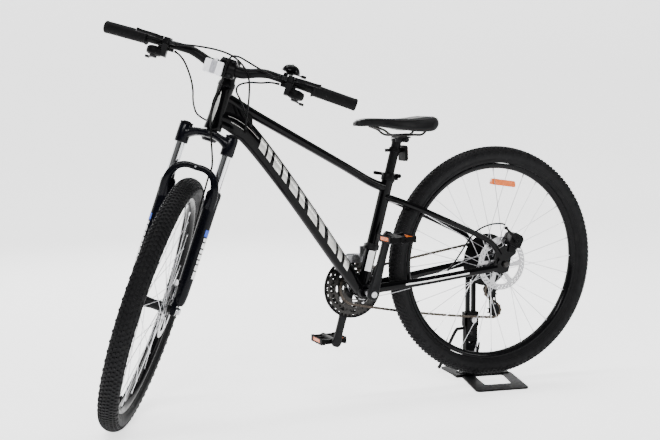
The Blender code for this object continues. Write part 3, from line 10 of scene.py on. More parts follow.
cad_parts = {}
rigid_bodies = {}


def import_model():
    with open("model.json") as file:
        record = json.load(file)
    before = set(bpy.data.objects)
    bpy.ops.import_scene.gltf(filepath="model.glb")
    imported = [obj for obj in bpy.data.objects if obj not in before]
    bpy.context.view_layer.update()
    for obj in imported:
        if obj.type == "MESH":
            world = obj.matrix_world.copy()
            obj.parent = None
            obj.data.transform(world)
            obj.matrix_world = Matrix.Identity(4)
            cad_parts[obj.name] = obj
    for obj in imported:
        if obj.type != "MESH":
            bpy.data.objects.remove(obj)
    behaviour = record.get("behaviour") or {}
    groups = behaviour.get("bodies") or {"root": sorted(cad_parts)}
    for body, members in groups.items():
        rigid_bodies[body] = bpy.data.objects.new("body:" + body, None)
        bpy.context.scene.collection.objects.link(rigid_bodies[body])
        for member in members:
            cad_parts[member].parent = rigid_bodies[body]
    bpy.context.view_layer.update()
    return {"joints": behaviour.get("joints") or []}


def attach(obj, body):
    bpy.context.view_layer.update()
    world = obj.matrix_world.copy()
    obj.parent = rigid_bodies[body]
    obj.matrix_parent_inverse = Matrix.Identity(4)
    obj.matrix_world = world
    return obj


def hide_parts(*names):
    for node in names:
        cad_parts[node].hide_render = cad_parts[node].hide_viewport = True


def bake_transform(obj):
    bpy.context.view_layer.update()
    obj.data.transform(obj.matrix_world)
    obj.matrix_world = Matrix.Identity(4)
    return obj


for leftover in list(bpy.data.objects):
    bpy.data.objects.remove(leftover)

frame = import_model()

# Places read from the frame, in metres.
JOINTS = {joint["name"]: joint for joint in frame["joints"]}
REAR_AXLE = Vector(JOINTS["rear_wheel_spin"]["pos_m"])
BOTTOM_BRACKET = Vector(JOINTS["crank_spin"]["pos_m"])
CROWN = Vector(JOINTS["steering"]["pos_m"])
HEAD_AXIS = Vector(JOINTS["steering"]["axis"]).normalized()
WHEEL_AXIS = Vector(JOINTS["front_wheel_spin"]["axis"]).normalized()
FRONT_AXLE = Vector(JOINTS["front_wheel_spin"]["pos_m"])
SEAT_AXIS = Vector(JOINTS["seatpost_height"]["axis"]).normalized()
MIDPLANE = REAR_AXLE.y

BIKE = Matrix.Translation((0.0, MIDPLANE, 0.0))         # midplane at y = 0
ROW = Matrix.Identity(4)
STEER = Matrix((WHEEL_AXIS.cross(HEAD_AXIS), WHEEL_AXIS, HEAD_AXIS)).transposed().to_4x4()
STEER.translation = CROWN                                # +X back, +Y right, +Z up the steerer
REAR = Matrix.Translation(REAR_AXLE)
CRANK = Matrix.Translation(BOTTOM_BRACKET)
FRONT = STEER.copy()
FRONT.translation = FRONT_AXLE

STANCHION_Y = 0.0632
FORK_X = -0.0434
CRANK_ANGLE = 74.3
CRANK_LENGTH = 0.170
SPOKE_COUNT = 32
RING_Y = (0.0435, 0.0505, 0.0575)
COG_TEETH = (34, 28, 24, 20, 17, 14, 12)
COG_Y = (0.0375, 0.0435, 0.0472, 0.0504, 0.0536, 0.0568, 0.0598)
CHAIN_PITCH = 0.0127


# ---------------------------------------------------------------- camera, light and floor
def camera():
    right = Vector((0.9141, -0.4055, -0.0052))
    back = Vector((-0.4025, -0.9087, 0.1107))
    up = back.cross(right)
    data = bpy.data.cameras.new("camera")
    data.lens = 63.34
    data.clip_end = 60.0
    obj = bpy.data.objects.new("camera", data)
    obj.matrix_world = Matrix((right, up, back)).transposed().to_4x4()
    obj.location = (-1.857, -3.076, 0.888)
    bpy.context.scene.collection.objects.link(obj)
    bpy.context.scene.camera = obj


def area_light(name, at, target, size, power):
    data = bpy.data.lights.new(name, "AREA")
    data.shape = "RECTANGLE"
    data.size, data.size_y = size
    data.energy = power
    obj = bpy.data.objects.new(name, data)
    obj.location = at
    obj.rotation_euler = (Vector(target) - Vector(at)).to_track_quat("-Z", "Y").to_euler()
    bpy.context.scene.collection.objects.link(obj)


HORIZON_STRENGTH = 0.05
ZENITH_STRENGTH = 0.60
FLOOR_GLOW = 1.9


def studio():
    world = bpy.data.worlds.new("studio")
    world.use_nodes = True
    nodes, links = world.node_tree.nodes, world.node_tree.links
    background = nodes["Background"]
    background.inputs["Color"].default_value = (1.0, 1.0, 1.0, 1.0)
    place = nodes.new("ShaderNodeTexCoord")
    height = nodes.new("ShaderNodeSeparateXYZ")
    links.new(place.outputs["Generated"], height.inputs["Vector"])
    spread = nodes.new("ShaderNodeMapRange")
    spread.inputs["From Min"].default_value = 0.15
    spread.inputs["From Max"].default_value = 0.95
    spread.inputs["To Min"].default_value = HORIZON_STRENGTH
    spread.inputs["To Max"].default_value = ZENITH_STRENGTH
    links.new(height.outputs["Z"], spread.inputs["Value"])
    links.new(spread.outputs["Result"], background.inputs["Strength"])
    bpy.context.scene.world = world
    centre = (-0.55, -0.1, 0.5)
    area_light("key", (-2.6, -3.0, 2.9), centre, (2.2, 0.3), 110)
    area_light("fill", (2.6, -2.6, 1.7), centre, (0.3, 1.6), 50)
    area_light("top", (-0.5, 0.4, 3.4), centre, (3.2, 0.25), 75)
    area_light("back", (-0.6, 3.0, 1.9), centre, (3.0, 0.3), 60)


def floor():
    bm = bmesh.new()
    rows = []
    for y, z in ((-60.0, 0.0), (5.0, 0.0), (6.6, 0.25), (7.8, 1.1), (8.4, 2.6), (8.6, 8.0)):
        rows.append([bm.verts.new((x, y, z)) for x in (-60.0, 60.0)])
    for low, high in zip(rows, rows[1:]):
        bm.faces.new((low[0], low[1], high[1], high[0]))
    mesh = bpy.data.meshes.new("studio_floor")
    bm.to_mesh(mesh)
    bm.free()
    mesh.shade_smooth()
    obj = bpy.data.objects.new("studio_floor", mesh)
    mesh.materials.append(finish("pale_floor", (0.90, 0.90, 0.90), 0.95, mottle=(0.6, 0.01),
                                 specular=0.1, glow=FLOOR_GLOW))
    bpy.context.scene.collection.objects.link(obj)


# ---------------------------------------------------------------- materials
def finish(name, colour, roughness, metallic=0.0, mottle=(60.0, 0.15), bump=None, uneven=0.06,
           coat=0.0, specks=None, sheen=0.0, glow=0.0, brushed=None, specular=0.5):
    """A Principled material whose colour, roughness and relief vary with procedural noise.

    mottle: noise scale and colour share. bump: kind, scale, height in metres.
    specks: scale, share and colour of sparse marks. brushed: stretch along each axis.
    """
    made = bpy.data.materials.new(name)
    made.use_nodes = True
    made.diffuse_color = (*colour, 1.0)
    nodes, links = made.node_tree.nodes, made.node_tree.links
    shader = nodes["Principled BSDF"]
    shader.inputs["Metallic"].default_value = metallic
    shader.inputs["Specular IOR Level"].default_value = specular
    shader.inputs["Coat Weight"].default_value = coat
    shader.inputs["Coat Roughness"].default_value = 0.06
    shader.inputs["Sheen Weight"].default_value = sheen
    place = nodes.new("ShaderNodeTexCoord")
    source = place.outputs["Object"]
    if brushed:
        stretch = nodes.new("ShaderNodeMapping")
        stretch.inputs["Scale"].default_value = brushed
        links.new(source, stretch.inputs["Vector"])
        source = stretch.outputs["Vector"]

    noise = nodes.new("ShaderNodeTexNoise")
    noise.inputs["Scale"].default_value = mottle[0]
    noise.inputs["Detail"].default_value = 6.0
    links.new(source, noise.inputs["Vector"])
    ramp = nodes.new("ShaderNodeValToRGB")
    ramp.color_ramp.elements[0].position = 0.3
    ramp.color_ramp.elements[1].position = 0.7
    ramp.color_ramp.elements[0].color = (*[channel * (1 - mottle[1]) for channel in colour], 1.0)
    ramp.color_ramp.elements[1].color = (*[min(1.0, channel * (1 + mottle[1])) for channel in colour], 1.0)
    links.new(noise.outputs["Fac"], ramp.inputs["Fac"])
    tint = ramp.outputs["Color"]
    if specks:
        cells = nodes.new("ShaderNodeTexNoise")
        cells.inputs["Scale"].default_value = specks[0]
        cells.inputs["Detail"].default_value = 2.0
        links.new(source, cells.inputs["Vector"])
        cut = nodes.new("ShaderNodeMapRange")
        cut.inputs["From Min"].default_value = 1.0 - specks[1]
        cut.inputs["From Max"].default_value = 1.0 - specks[1] + 0.06
        links.new(cells.outputs["Fac"], cut.inputs["Value"])
        blend = nodes.new("ShaderNodeMix")
        blend.data_type = "RGBA"
        blend.inputs["B"].default_value = (*specks[2], 1.0)
        links.new(cut.outputs["Result"], blend.inputs["Factor"])
        links.new(tint, blend.inputs["A"])
        tint = blend.outputs["Result"]
    links.new(tint, shader.inputs["Base Color"])
    if glow:
        shader.inputs["Emission Color"].default_value = (*colour, 1.0)
        shader.inputs["Emission Strength"].default_value = glow

    smudge = nodes.new("ShaderNodeTexNoise")
    smudge.inputs["Scale"].default_value = mottle[0] * 0.37
    smudge.inputs["Detail"].default_value = 4.0
    links.new(source, smudge.inputs["Vector"])
    spread = nodes.new("ShaderNodeMapRange")
    spread.inputs["From Min"].default_value = 0.3
    spread.inputs["From Max"].default_value = 0.7
    spread.inputs["To Min"].default_value = max(0.02, roughness - uneven)
    spread.inputs["To Max"].default_value = min(1.0, roughness + uneven)
    links.new(smudge.outputs["Fac"], spread.inputs["Value"])
    links.new(spread.outputs["Result"], shader.inputs["Roughness"])

    if bump:
        kind, scale, height = bump
        relief = nodes.new("ShaderNodeTexVoronoi" if kind == "cells" else "ShaderNodeTexNoise")
        relief.inputs["Scale"].default_value = scale
        if kind != "cells":
            relief.inputs["Detail"].default_value = 3.0
        links.new(source, relief.inputs["Vector"])
        raised = nodes.new("ShaderNodeBump")
        raised.inputs["Strength"].default_value = 0.5
        raised.inputs["Distance"].default_value = height
        links.new(relief.outputs["Distance" if kind == "cells" else "Fac"], raised.inputs["Height"])
        links.new(raised.outputs["Normal"], shader.inputs["Normal"])
    return made


GLOSS_BLACK = finish("gloss_black", (0.0010, 0.0010, 0.0013), 0.17, mottle=(900, 0.35), coat=0.08,
                     uneven=0.03,
                     specular=0.06)
SATIN_BLACK = finish("satin_black", (0.0016, 0.0016, 0.0019), 0.38, mottle=(300, 0.2),
                     bump=("noise", 1800, 0.00006), specular=0.07)
GREY_BLACK = finish("grey_black", (0.0055, 0.0057, 0.0064), 0.40, 0.2, mottle=(200, 0.15),
                    bump=("noise", 1500, 0.00006), specular=0.12)
FORK_PAINT = finish("fork_paint", (0.0012, 0.0014, 0.0028), 0.26, mottle=(500, 0.25), coat=0.06, uneven=0.04,
                    specular=0.07)
RIM_BLACK = finish("rim_black", (0.0020, 0.0020, 0.0024), 0.24, mottle=(220, 0.2), coat=0.05, specular=0.06)
PLASTIC = finish("moulded_black", (0.0014, 0.0014, 0.0016), 0.48, mottle=(400, 0.2),
                 bump=("noise", 2200, 0.00008), specular=0.06)
TYRE = finish("tyre_compound", (0.0042, 0.0042, 0.0047), 0.66, mottle=(90, 0.28),
              bump=("noise", 900, 0.00018),
              specks=(35, 0.36, (0.0075, 0.0073, 0.0072)), specular=0.12)
GRIP = finish("grip_rubber", (0.0022, 0.0022, 0.0025), 0.62, mottle=(250, 0.2), bump=("noise", 1600, 0.00012),
              specular=0.09)
VINYL = finish("saddle_cover", (0.0030, 0.0030, 0.0034), 0.44, mottle=(120, 0.22),
               bump=("cells", 900, 0.00016),
               sheen=0.03, specular=0.14)
HOUSING = finish("cable_jacket", (0.0018, 0.0018, 0.0021), 0.32, mottle=(500, 0.2), specular=0.08)
CHROME = finish("chrome_tube", (0.70, 0.71, 0.73), 0.10, 1.0, mottle=(300, 0.06), brushed=(1, 1, 14),
                uneven=0.03)
STEEL = finish("satin_steel", (0.52, 0.52, 0.54), 0.30, 1.0, mottle=(500, 0.14), brushed=(8, 8, 1),
               uneven=0.08)
SPOKE = finish("spoke_steel", (0.58, 0.58, 0.60), 0.30, 1.0, mottle=(500, 0.1))
ROTOR = finish("rotor_steel", (0.36, 0.36, 0.37), 0.30, 1.0, mottle=(420, 0.12), uneven=0.08)
DARK_STEEL = finish("dark_steel", (0.030, 0.029, 0.028), 0.36, 0.9, mottle=(300, 0.3),
                    specks=(260, 0.34, (0.075, 0.068, 0.060)), specular=0.2)
CHAIN_STEEL = finish("chain_steel", (0.055, 0.046, 0.039), 0.36, 0.95, mottle=(400, 0.3),
                     specks=(500, 0.36, (0.16, 0.13, 0.105)))
STAND_PAINT = finish("stand_powder", (0.0026, 0.0026, 0.0030), 0.48, mottle=(300, 0.2),
                     bump=("noise", 1400, 0.00012), specular=0.07)
AMBER = finish("amber_lens", (0.62, 0.115, 0.006), 0.25, mottle=(200, 0.12), bump=("cells", 420, 0.0005))
RED = finish("red_lens", (0.09, 0.006, 0.007), 0.2, mottle=(200, 0.12), bump=("cells", 420, 0.0005))
WHITE_LENS = finish("white_lens", (0.80, 0.80, 0.83), 0.22, mottle=(160, 0.10), bump=("cells", 420, 0.0006))
GREY_LENS = finish("grey_lens", (0.27, 0.27, 0.30), 0.30, mottle=(260, 0.25), bump=("cells", 700, 0.0005))
# Silver for the printed bars and lines, and for the painted reflection stripe on the head tube.
SILVER_PRINT_AND_PAINTED_REFLECTION = finish("silver_decal_and_painted_reflection", (0.50, 0.50, 0.48), 0.30, 0.5, mottle=(40, 0.18), uneven=0.06)
WHITE_MARK = finish("white_decal", (0.80, 0.80, 0.80), 0.4, mottle=(80, 0.05))
BLUE_MARK = finish("blue_decal", (0.004, 0.055, 0.42), 0.35, mottle=(80, 0.1))


# ---------------------------------------------------------------- mesh helpers
def ring(bm, points):
    return [bm.verts.new(point) for point in points]


def bridge(bm, rings, closed=False, caps=True):
    pairs = list(zip(rings, rings[1:]))
    if closed:
        pairs.append((rings[-1], rings[0]))
    for first, second in pairs:
        count = len(first)
        for index in range(count):
            after = (index + 1) % count
            bm.faces.new((first[index], first[after], second[after], second[index]))
    if caps and not closed:
        bm.faces.new(list(reversed(rings[0])))
        bm.faces.new(rings[-1])


def basis(along, up=(0.0, 0.0, 1.0)):
    along = Vector(along).normalized()
    side = Vector(up).cross(along)
    if side.length < 0.05:
        side = Vector((1.0, 0.0, 0.0)).cross(along)
    side.normalize()
    return side, along.cross(side)


def rod(bm, start, end, radius, end_radius=None, sides=32, phase=0.0):
    start, end = Vector(start), Vector(end)
    side, up = basis(end - start)
    rings = []
    for centre, size in ((start, radius), (end, radius if end_radius is None else end_radius)):
        rings.append(ring(bm, [centre + (side * math.cos(phase + 2 * math.pi * i / sides)
                                         + up * math.sin(phase + 2 * math.pi * i / sides)) * size
                               for i in range(sides)]))
    bridge(bm, rings)


def turned(bm, profile, at=(0, 0, 0), axis=(0, 1, 0), steps=64, closed=False):
    """A profile of (radius, height) pairs turned about axis."""
    at = Vector(at)
    side, up = basis(axis)
    along = Vector(axis).normalized()
    rings = []
    for radius, height in profile:
        radius = max(radius, 0.00012)
        rings.append(ring(bm, [at + along * height + (side * math.cos(2 * math.pi * i / steps)
                                                      + up * math.sin(2 * math.pi * i / steps)) * radius
                               for i in range(steps)]))
    bridge(bm, rings, closed)


def smooth(points, per_span=6):
    """Catmull-Rom curve through the points; a tuple of any length is interpolated."""
    rows = [np.array(point, float) for point in points]
    rows = [2 * rows[0] - rows[1], *rows, 2 * rows[-1] - rows[-2]]
    out = []
    for a, b, c, d in zip(rows, rows[1:], rows[2:], rows[3:]):
        for step in range(per_span):
            t = step / per_span
            out.append(0.5 * (2 * b + (c - a) * t + (2 * a - 5 * b + 4 * c - d) * t * t
                              + (3 * b - a - 3 * c + d) * t * t * t))
    out.append(rows[-2])
    return out


def sweep(bm, points, radii, sides=16, up=(0.0, 0.0, 1.0), flat=1.0):
    """A round or flattened bar along points; the first side is carried along without twist."""
    points = [Vector(point[:3]) for point in points]
    if not hasattr(radii, "__len__"):
        radii = [radii] * len(points)
    side, _ = basis(points[1] - points[0], up)
    rings = []
    for index, point in enumerate(points):
        before, after = points[max(index - 1, 0)], points[min(index + 1, len(points) - 1)]
        along = (after - before).normalized()
        side = (side - along * side.dot(along)).normalized()
        lift = along.cross(side)
        rings.append(ring(bm, [point + (side * math.cos(2 * math.pi * i / sides)
                                        + lift * math.sin(2 * math.pi * i / sides) * flat) * radii[index]
                               for i in range(sides)]))
    bridge(bm, rings)


def block(bm, low, high, turn=None):
    low, high = Vector(low), Vector(high)
    matrix = Matrix.Translation((low + high) / 2) @ Matrix.Diagonal((*(high - low), 1.0))
    if turn:
        matrix = turn @ matrix
    bmesh.ops.create_cube(bm, size=1.0, matrix=matrix)


def circle(radius, count=24, centre=(0.0, 0.0), start=0.0, stretch=1.0):
    return [(centre[0] + radius * math.cos(start + 2 * math.pi * i / count),
             centre[1] + radius * stretch * math.sin(start + 2 * math.pi * i / count)) for i in range(count)]


def rounded(outline, radius, steps=5):
    """The outline with each corner replaced by an arc."""
    corners = []
    count = len(outline)
    for index in range(count):
        before, here = Vector(outline[index - 1]), Vector(outline[index])
        after = Vector(outline[(index + 1) % count])
        to_before, to_after = (before - here).normalized(), (after - here).normalized()
        half = math.acos(max(-1.0, min(1.0, to_before.dot(to_after)))) / 2
        reach = min(radius / max(math.tan(half), 1e-3), (before - here).length / 2.05,
                    (after - here).length / 2.05)
        first, last = here + to_before * reach, here + to_after * reach
        for step in range(steps + 1):
            t = step / steps
            corners.append(tuple(first.lerp(here, t).lerp(here.lerp(last, t), t)))
    return corners


XZ = Matrix(((1, 0, 0, 0), (0, 0, -1, 0), (0, 1, 0, 0), (0, 0, 0, 1)))
YZ = Matrix(((0, 0, 1, 0), (1, 0, 0, 0), (0, 1, 0, 0), (0, 0, 0, 1)))
XY = Matrix.Identity(4)


def plate(bm, outline, low, high, plane=XZ, holes=()):
    """A flat outline with holes, from low to high along the plane's normal axis."""
    curve = bpy.data.curves.new("outline", "CURVE")
    curve.dimensions = "2D"
    curve.fill_mode = "BOTH"
    curve.extrude = (high - low) / 2
    for points in (outline, *holes):
        spline = curve.splines.new("POLY")
        spline.points.add(len(points) - 1)
        for point, (a, b) in zip(spline.points, points):
            point.co = (a, b, 0.0, 1.0)
        spline.use_cyclic_u = True
    obj = bpy.data.objects.new("outline", curve)
    bpy.context.scene.collection.objects.link(obj)
    graph = bpy.context.evaluated_depsgraph_get()
    mesh = bpy.data.meshes.new_from_object(obj.evaluated_get(graph))
    middle = (low + high) / 2
    shift = {id(XZ): (0, middle, 0), id(YZ): (middle, 0, 0), id(XY): (0, 0, middle)}[id(plane)]
    mesh.transform(Matrix.Translation(shift) @ plane)
    bm.from_mesh(mesh)
    bpy.data.objects.remove(obj)
    bpy.data.curves.remove(curve)
    bpy.data.meshes.remove(mesh)


def piece(bm, name, body, material, space=BIKE, replaces=(), bevel=0.0, angle=35.0, subdivide=0,
          segments=2, blend=None):
    """Turns the mesh into one named piece that rides on a body and stands for CAD nodes."""
    bmesh.ops.remove_doubles(bm, verts=bm.verts, dist=0.00002)
    bmesh.ops.recalc_face_normals(bm, faces=bm.faces)
    mesh = bpy.data.meshes.new(name)
    bm.to_mesh(mesh)
    bm.free()
    mesh.transform(space)
    mesh.materials.append(material)
    mesh.shade_smooth()
    mesh.set_sharp_from_angle(angle=math.radians(angle))
    obj = bpy.data.objects.new(name, mesh)
    bpy.context.scene.collection.objects.link(obj)
    if bevel:
        rounding = obj.modifiers.new("edges", "BEVEL")
        rounding.width = bevel
        rounding.segments = segments
        rounding.limit_method = "ANGLE"
        rounding.angle_limit = math.radians(angle)
        rounding.harden_normals = True
    if subdivide:
        surface = obj.modifiers.new("surface", "SUBSURF")
        surface.levels = surface.render_levels = subdivide
    if blend:
        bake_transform(obj)
    else:
        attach(obj, body)
    if replaces:
        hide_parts(*replaces)
    return obj


def direction(angle):
    return Vector((math.cos(math.radians(angle)), 0.0, math.sin(math.radians(angle))))


BB = BOTTOM_BRACKET - Vector((0.0, MIDPLANE, 0.0))       # in the BIKE space
RA = REAR_AXLE - Vector((0.0, MIDPLANE, 0.0))
HEAD = CROWN - Vector((0.0, MIDPLANE, 0.0))


def seat_point(distance, y=0.0):
    return BB + SEAT_AXIS * distance + Vector((0.0, y, 0.0))


# ---------------------------------------------------------------- tyres, rims and hubs
def tyre(name, body, space):
    """Carcass with six staggered rows of knobs and low ribs on the sidewalls."""
    quarter = [(0.2975, 0.0100), (0.3040, 0.0180), (0.3130, 0.0238), (0.3215, 0.0258), (0.3300, 0.0243),
               (0.3375, 0.0192), (0.3425, 0.0105), (0.3445, 0.0)]
    half = [tuple(point) for point in smooth(quarter, 4)]
    outside = half + [(r, -y) for r, y in reversed(half[:-1])]
    inside = [(r - 0.003 if r > 0.30 else r, y * 0.86) for r, y in outside]
    bm = bmesh.new()
    turned(bm, outside + list(reversed(inside)), steps=120, closed=True)

    def surface(theta, across, lift):
        """A point above the carcass; across runs from -1 to 1 over the tread."""
        y = 0.0262 * math.sin(across * 1.35) / math.sin(1.35)
        radius = 0.3208 + 0.0237 * math.sqrt(max(0.0, 1 - (y / 0.0263) ** 2)) ** 0.9
        out = Vector((math.cos(theta), 0.0, math.sin(theta)))
        lean = 1.05 * across
        return out * (radius + lift * math.cos(lean)) + Vector((0.0, y + lift * math.sin(lean), 0.0))

    pitches = 156
    pitch = 2 * math.pi / pitches
    rows = ((0.13, 0.105, 0.62, 0.0028, 0.0), (0.40, 0.105, 0.56, 0.0027, 0.5),
            (0.66, 0.095, 0.50, 0.0024, 0.0), (0.90, 0.085, 0.60, 0.0020, 0.5))
    for across, half_width, length, height, phase in rows:
        for side in (-1, 1):
            for index in range(pitches):
                if across > 0.8 and index % 2:
                    continue
                middle = (index + phase + (0.25 if side > 0 else 0.0)) * pitch
                foot, top = [], []
                corners = ((-0.5, -1), (-0.32, 1), (0.5, 1), (0.32, -1))
                for along, wide in corners:
                    angle = middle + along * length * pitch
                    at = side * across + wide * half_width * side
                    foot.append(bm.verts.new(surface(angle, at, -0.0012)))
                    top.append(bm.verts.new(surface(middle + along * length * pitch * 0.84,
                                                    side * across + wide * half_width * 0.84 * side, height)))
                bridge(bm, [foot, top])
    for side in (-1, 1):
        for radius, y in ((0.3055, 0.0196), (0.3090, 0.0222), (0.3290, 0.0250)):
            turned(bm, [(radius + 0.0006 * math.cos(a), side * (y + 0.0006 * math.sin(a)))
                        for a in (0.0, 1.57, 3.14, 4.71)], steps=96, closed=True)
    piece(bm, name, body, TYRE, space, [name], angle=38)


def rim(name, body, space):
    """Double-wall rim with its spoke nipples and a valve."""
    quarter = [(0.2962, 0.0112), (0.2962, 0.0133), (0.2952, 0.0136), (0.2900, 0.0130), (0.2862, 0.0112),
               (0.2822, 0.0072), (0.2806, 0.0040), (0.2802, 0.0)]
    outline = quarter + [(r, -y) for r, y in reversed(quarter[:-1])]
    outline += [(0.2925, -0.0100), (0.2900, -0.0050), (0.2900, 0.0050), (0.2925, 0.0100)]
    bm = bmesh.new()
    turned(bm, outline, steps=144, closed=True)
    piece(bm, name, body, RIM_BLACK, space, [name], angle=28)
    bm = bmesh.new()
    for index in range(SPOKE_COUNT):
        angle = 2 * math.pi * index / SPOKE_COUNT
        out = Vector((math.cos(angle), 0.0, math.sin(angle)))
        lean = Vector((0.0, math.copysign(0.0016, -1 if index % 2 == 0 else 1), 0.0))
        rod(bm, out * 0.2812 + lean, out * 0.2706 + lean * 1.6, 0.0021, 0.0017, sides=8)
    piece(bm, name + "_nipples", body, SPOKE, space)
    bm = bmesh.new()
    out = direction(-94.0 - 360 / SPOKE_COUNT / 2)
    turned(bm, [(0.0, 0.0), (0.0021, 0.0), (0.0028, 0.0028), (0.0030, 0.0150), (0.0044, 0.0150),
                (0.0044, 0.0180), (0.0030, 0.0180), (0.0030, 0.0320), (0.0, 0.0320)],
           at=out * 0.2505, axis=out, steps=20)
    piece(bm, name + "_valve", body, PLASTIC, space)


def hub(name, body, space, profile, flanges, flange_radius):
    """Turned shell with drilled flanges, and the crossed spokes with their elbows."""
    bm = bmesh.new()
    bore = [(0.0060, profile[-1][1]), (0.0060, profile[0][1])]
    turned(bm, profile + bore, steps=56, closed=True)
    piece(bm, name, body, GREY_BLACK, space, [name], bevel=0.0004, angle=30)
    bm = bmesh.new()
    for index in range(SPOKE_COUNT):
        flange_y = flanges[index % 2]
        leading = 1 if (index // 2) % 2 == 0 else -1
        rim_angle = 2 * math.pi * index / SPOKE_COUNT
        hub_angle = rim_angle - leading * math.radians(67.5)
        start = Vector((flange_radius * math.cos(hub_angle), flange_y + leading * 0.0021,
                        flange_radius * math.sin(hub_angle)))
        end = Vector((0.2730 * math.cos(rim_angle), math.copysign(0.0026, flange_y),
                      0.2730 * math.sin(rim_angle)))
        elbow = start.lerp(end, 0.012)
        head = start + Vector((0.0, -leading * 0.0042, 0.0))
        sweep(bm, [head, start, elbow, end], [0.0010, 0.0010, 0.0010, 0.0009], sides=8)
    piece(bm, name + "_spokes", body, SPOKE, space)


def rotor(name, body, space, y):
    """Braking ring with drilled slots on six swept arms, bolted to the hub."""
    bm = bmesh.new()
    holes = [circle(0.0165, 40)]
    for index in range(6):
        base = 60 * index
        outer = [(0.0628, math.radians(base + a)) for a in (7, 16, 26, 36, 45, 51)]
        inner = [(0.0270, math.radians(base + a) - 0.30) for a in (50, 38, 24, 10)]
        holes.append(rounded([(r * math.cos(a), r * math.sin(a)) for r, a in outer + inner], 0.004, 3))
    for index in range(36):
        for radius, shift in ((0.0752, 0.0), (0.0700, 3.4)):
            angle = math.radians(10 * index + shift)
            centre = Vector((radius * math.cos(angle), radius * math.sin(angle)))
            along = Vector((-math.sin(angle + 0.6), math.cos(angle + 0.6)))
            across = Vector((along.y, -along.x))
            holes.append([tuple(centre + along * 0.0033 * math.cos(t) + across * 0.0015 * math.sin(t))
                          for t in [2 * math.pi * i / 10 for i in range(10)]])
    plate(bm, circle(0.0800, 144), y - 0.0009, y + 0.0009, XZ, holes)
    piece(bm, name, body, ROTOR, space, [name], angle=30)
    bm = bmesh.new()
    for index in range(6):
        angle = math.radians(60 * index + 12)
        x, z = 0.0220 * math.cos(angle), 0.0220 * math.sin(angle)
        turned(bm, [(0.0, -0.0030), (0.0030, -0.0028), (0.0038, -0.0012), (0.0038, 0.0)],
               at=(x, y - 0.0009, z), steps=16)
    piece(bm, name + "_bolts", body, DARK_STEEL, space)


def wheels():
    rear = [(0.0085, 0.0674), (0.0085, 0.0250), (0.0180, 0.0245), (0.0290, 0.0225), (0.0300, 0.0215),
            (0.0300, 0.0200), (0.0185, 0.0180), (0.0155, 0.0120), (0.0148, 0.0), (0.0155, -0.0240),
            (0.0185, -0.0300), (0.0300, -0.0320), (0.0300, -0.0345), (0.0200, -0.0365), (0.0180, -0.0400),
            (0.0180, -0.0570), (0.0100, -0.0590), (0.0085, -0.0674)]
    front = [(0.0090, 0.0480), (0.0090, 0.0380), (0.0180, 0.0365), (0.0280, 0.0320), (0.0285, 0.0300),
             (0.0190, 0.0275), (0.0145, 0.0220), (0.0128, 0.0), (0.0145, -0.0205), (0.0190, -0.0255),
             (0.0285, -0.0280), (0.0280, -0.0300), (0.0180, -0.0320), (0.0180, -0.0420), (0.0100, -0.0435),
             (0.0090, -0.0480)]
    for prefix, space, profile, flanges, reach, y in (
            ("rear", REAR, rear, (-0.0335, 0.0210), 0.0270, -0.0545),
            ("front", FRONT, front, (-0.0285, 0.0305), 0.0250, -0.0395)):
        body = prefix + "_wheel_body"
        tyre(prefix + "_tyre", body, space)
        rim(prefix + "_rim", body, space)
        hub(prefix + "_hub", body, space, profile, flanges, reach)
        rotor(prefix + "_rotor", body, space, y)
    bm = bmesh.new()
    turned(bm, [(0.0320, 0.0250), (0.0790, 0.0325), (0.0800, 0.0318), (0.0790, 0.0310), (0.0320, 0.0238)],
           steps=72, closed=True)
    for index in range(16):
        angle = math.radians(22.5 * index)
        rod(bm, (0.038 * math.cos(angle), 0.0252, 0.038 * math.sin(angle)),
            (0.076 * math.cos(angle), 0.0316, 0.076 * math.sin(angle)), 0.0012, sides=8)
    piece(bm, "spoke_protector", "rear_wheel_body", PLASTIC, REAR)
    bm = bmesh.new()
    outline = rounded([(-0.046, -0.0090), (0.046, -0.0090), (0.040, 0.0095), (-0.040, 0.0095)], 0.006)
    plate(bm, outline, -0.0045, 0.0045)
    turn = REAR @ Matrix.Rotation(math.radians(8.5), 4, "Y") @ Matrix.Translation((0.0, 0.0, 0.2380))
    piece(bm, "wheel_reflector", "rear_wheel_body", AMBER, turn, bevel=0.0008)


# ---------------------------------------------------------------- frame
def oval(stations, per_span=8, sides=40, lift=0.0, share=(0.0, 1.0), sector=None):
    """Rings along an oval tube; a sector and a share of its length give a patch of its skin."""
    rows = [(*centre, wide, high) for centre, wide, high in stations]
    path = smooth(rows, per_span)
    total = len(path) - 1
    picked = [i for i in range(total + 1) if share[0] * total - 1e-6 <= i <= share[1] * total + 1e-6]
    rings = []
    for index in picked:
        row = path[index]
        after, before = path[min(index + 1, total)], path[max(index - 1, 0)]
        along = Vector(after[:3] - before[:3]).normalized()
        side = Vector((0, 1, 0))
        side = (side - along * side.dot(along)).normalized()
        up = side.cross(along)
        if up.z < 0:
            up = -up
        centre = Vector(row[:3])
        if sector:
            angles = [math.radians(sector[0] + (sector[1] - sector[0]) * i / 8) for i in range(9)]
        else:
            angles = [2 * math.pi * i / sides for i in range(sides)]
        rings.append([centre + side * (row[3] + lift) * math.cos(a) + up * (row[4] + lift) * math.sin(a)
                      for a in angles])
    return rings


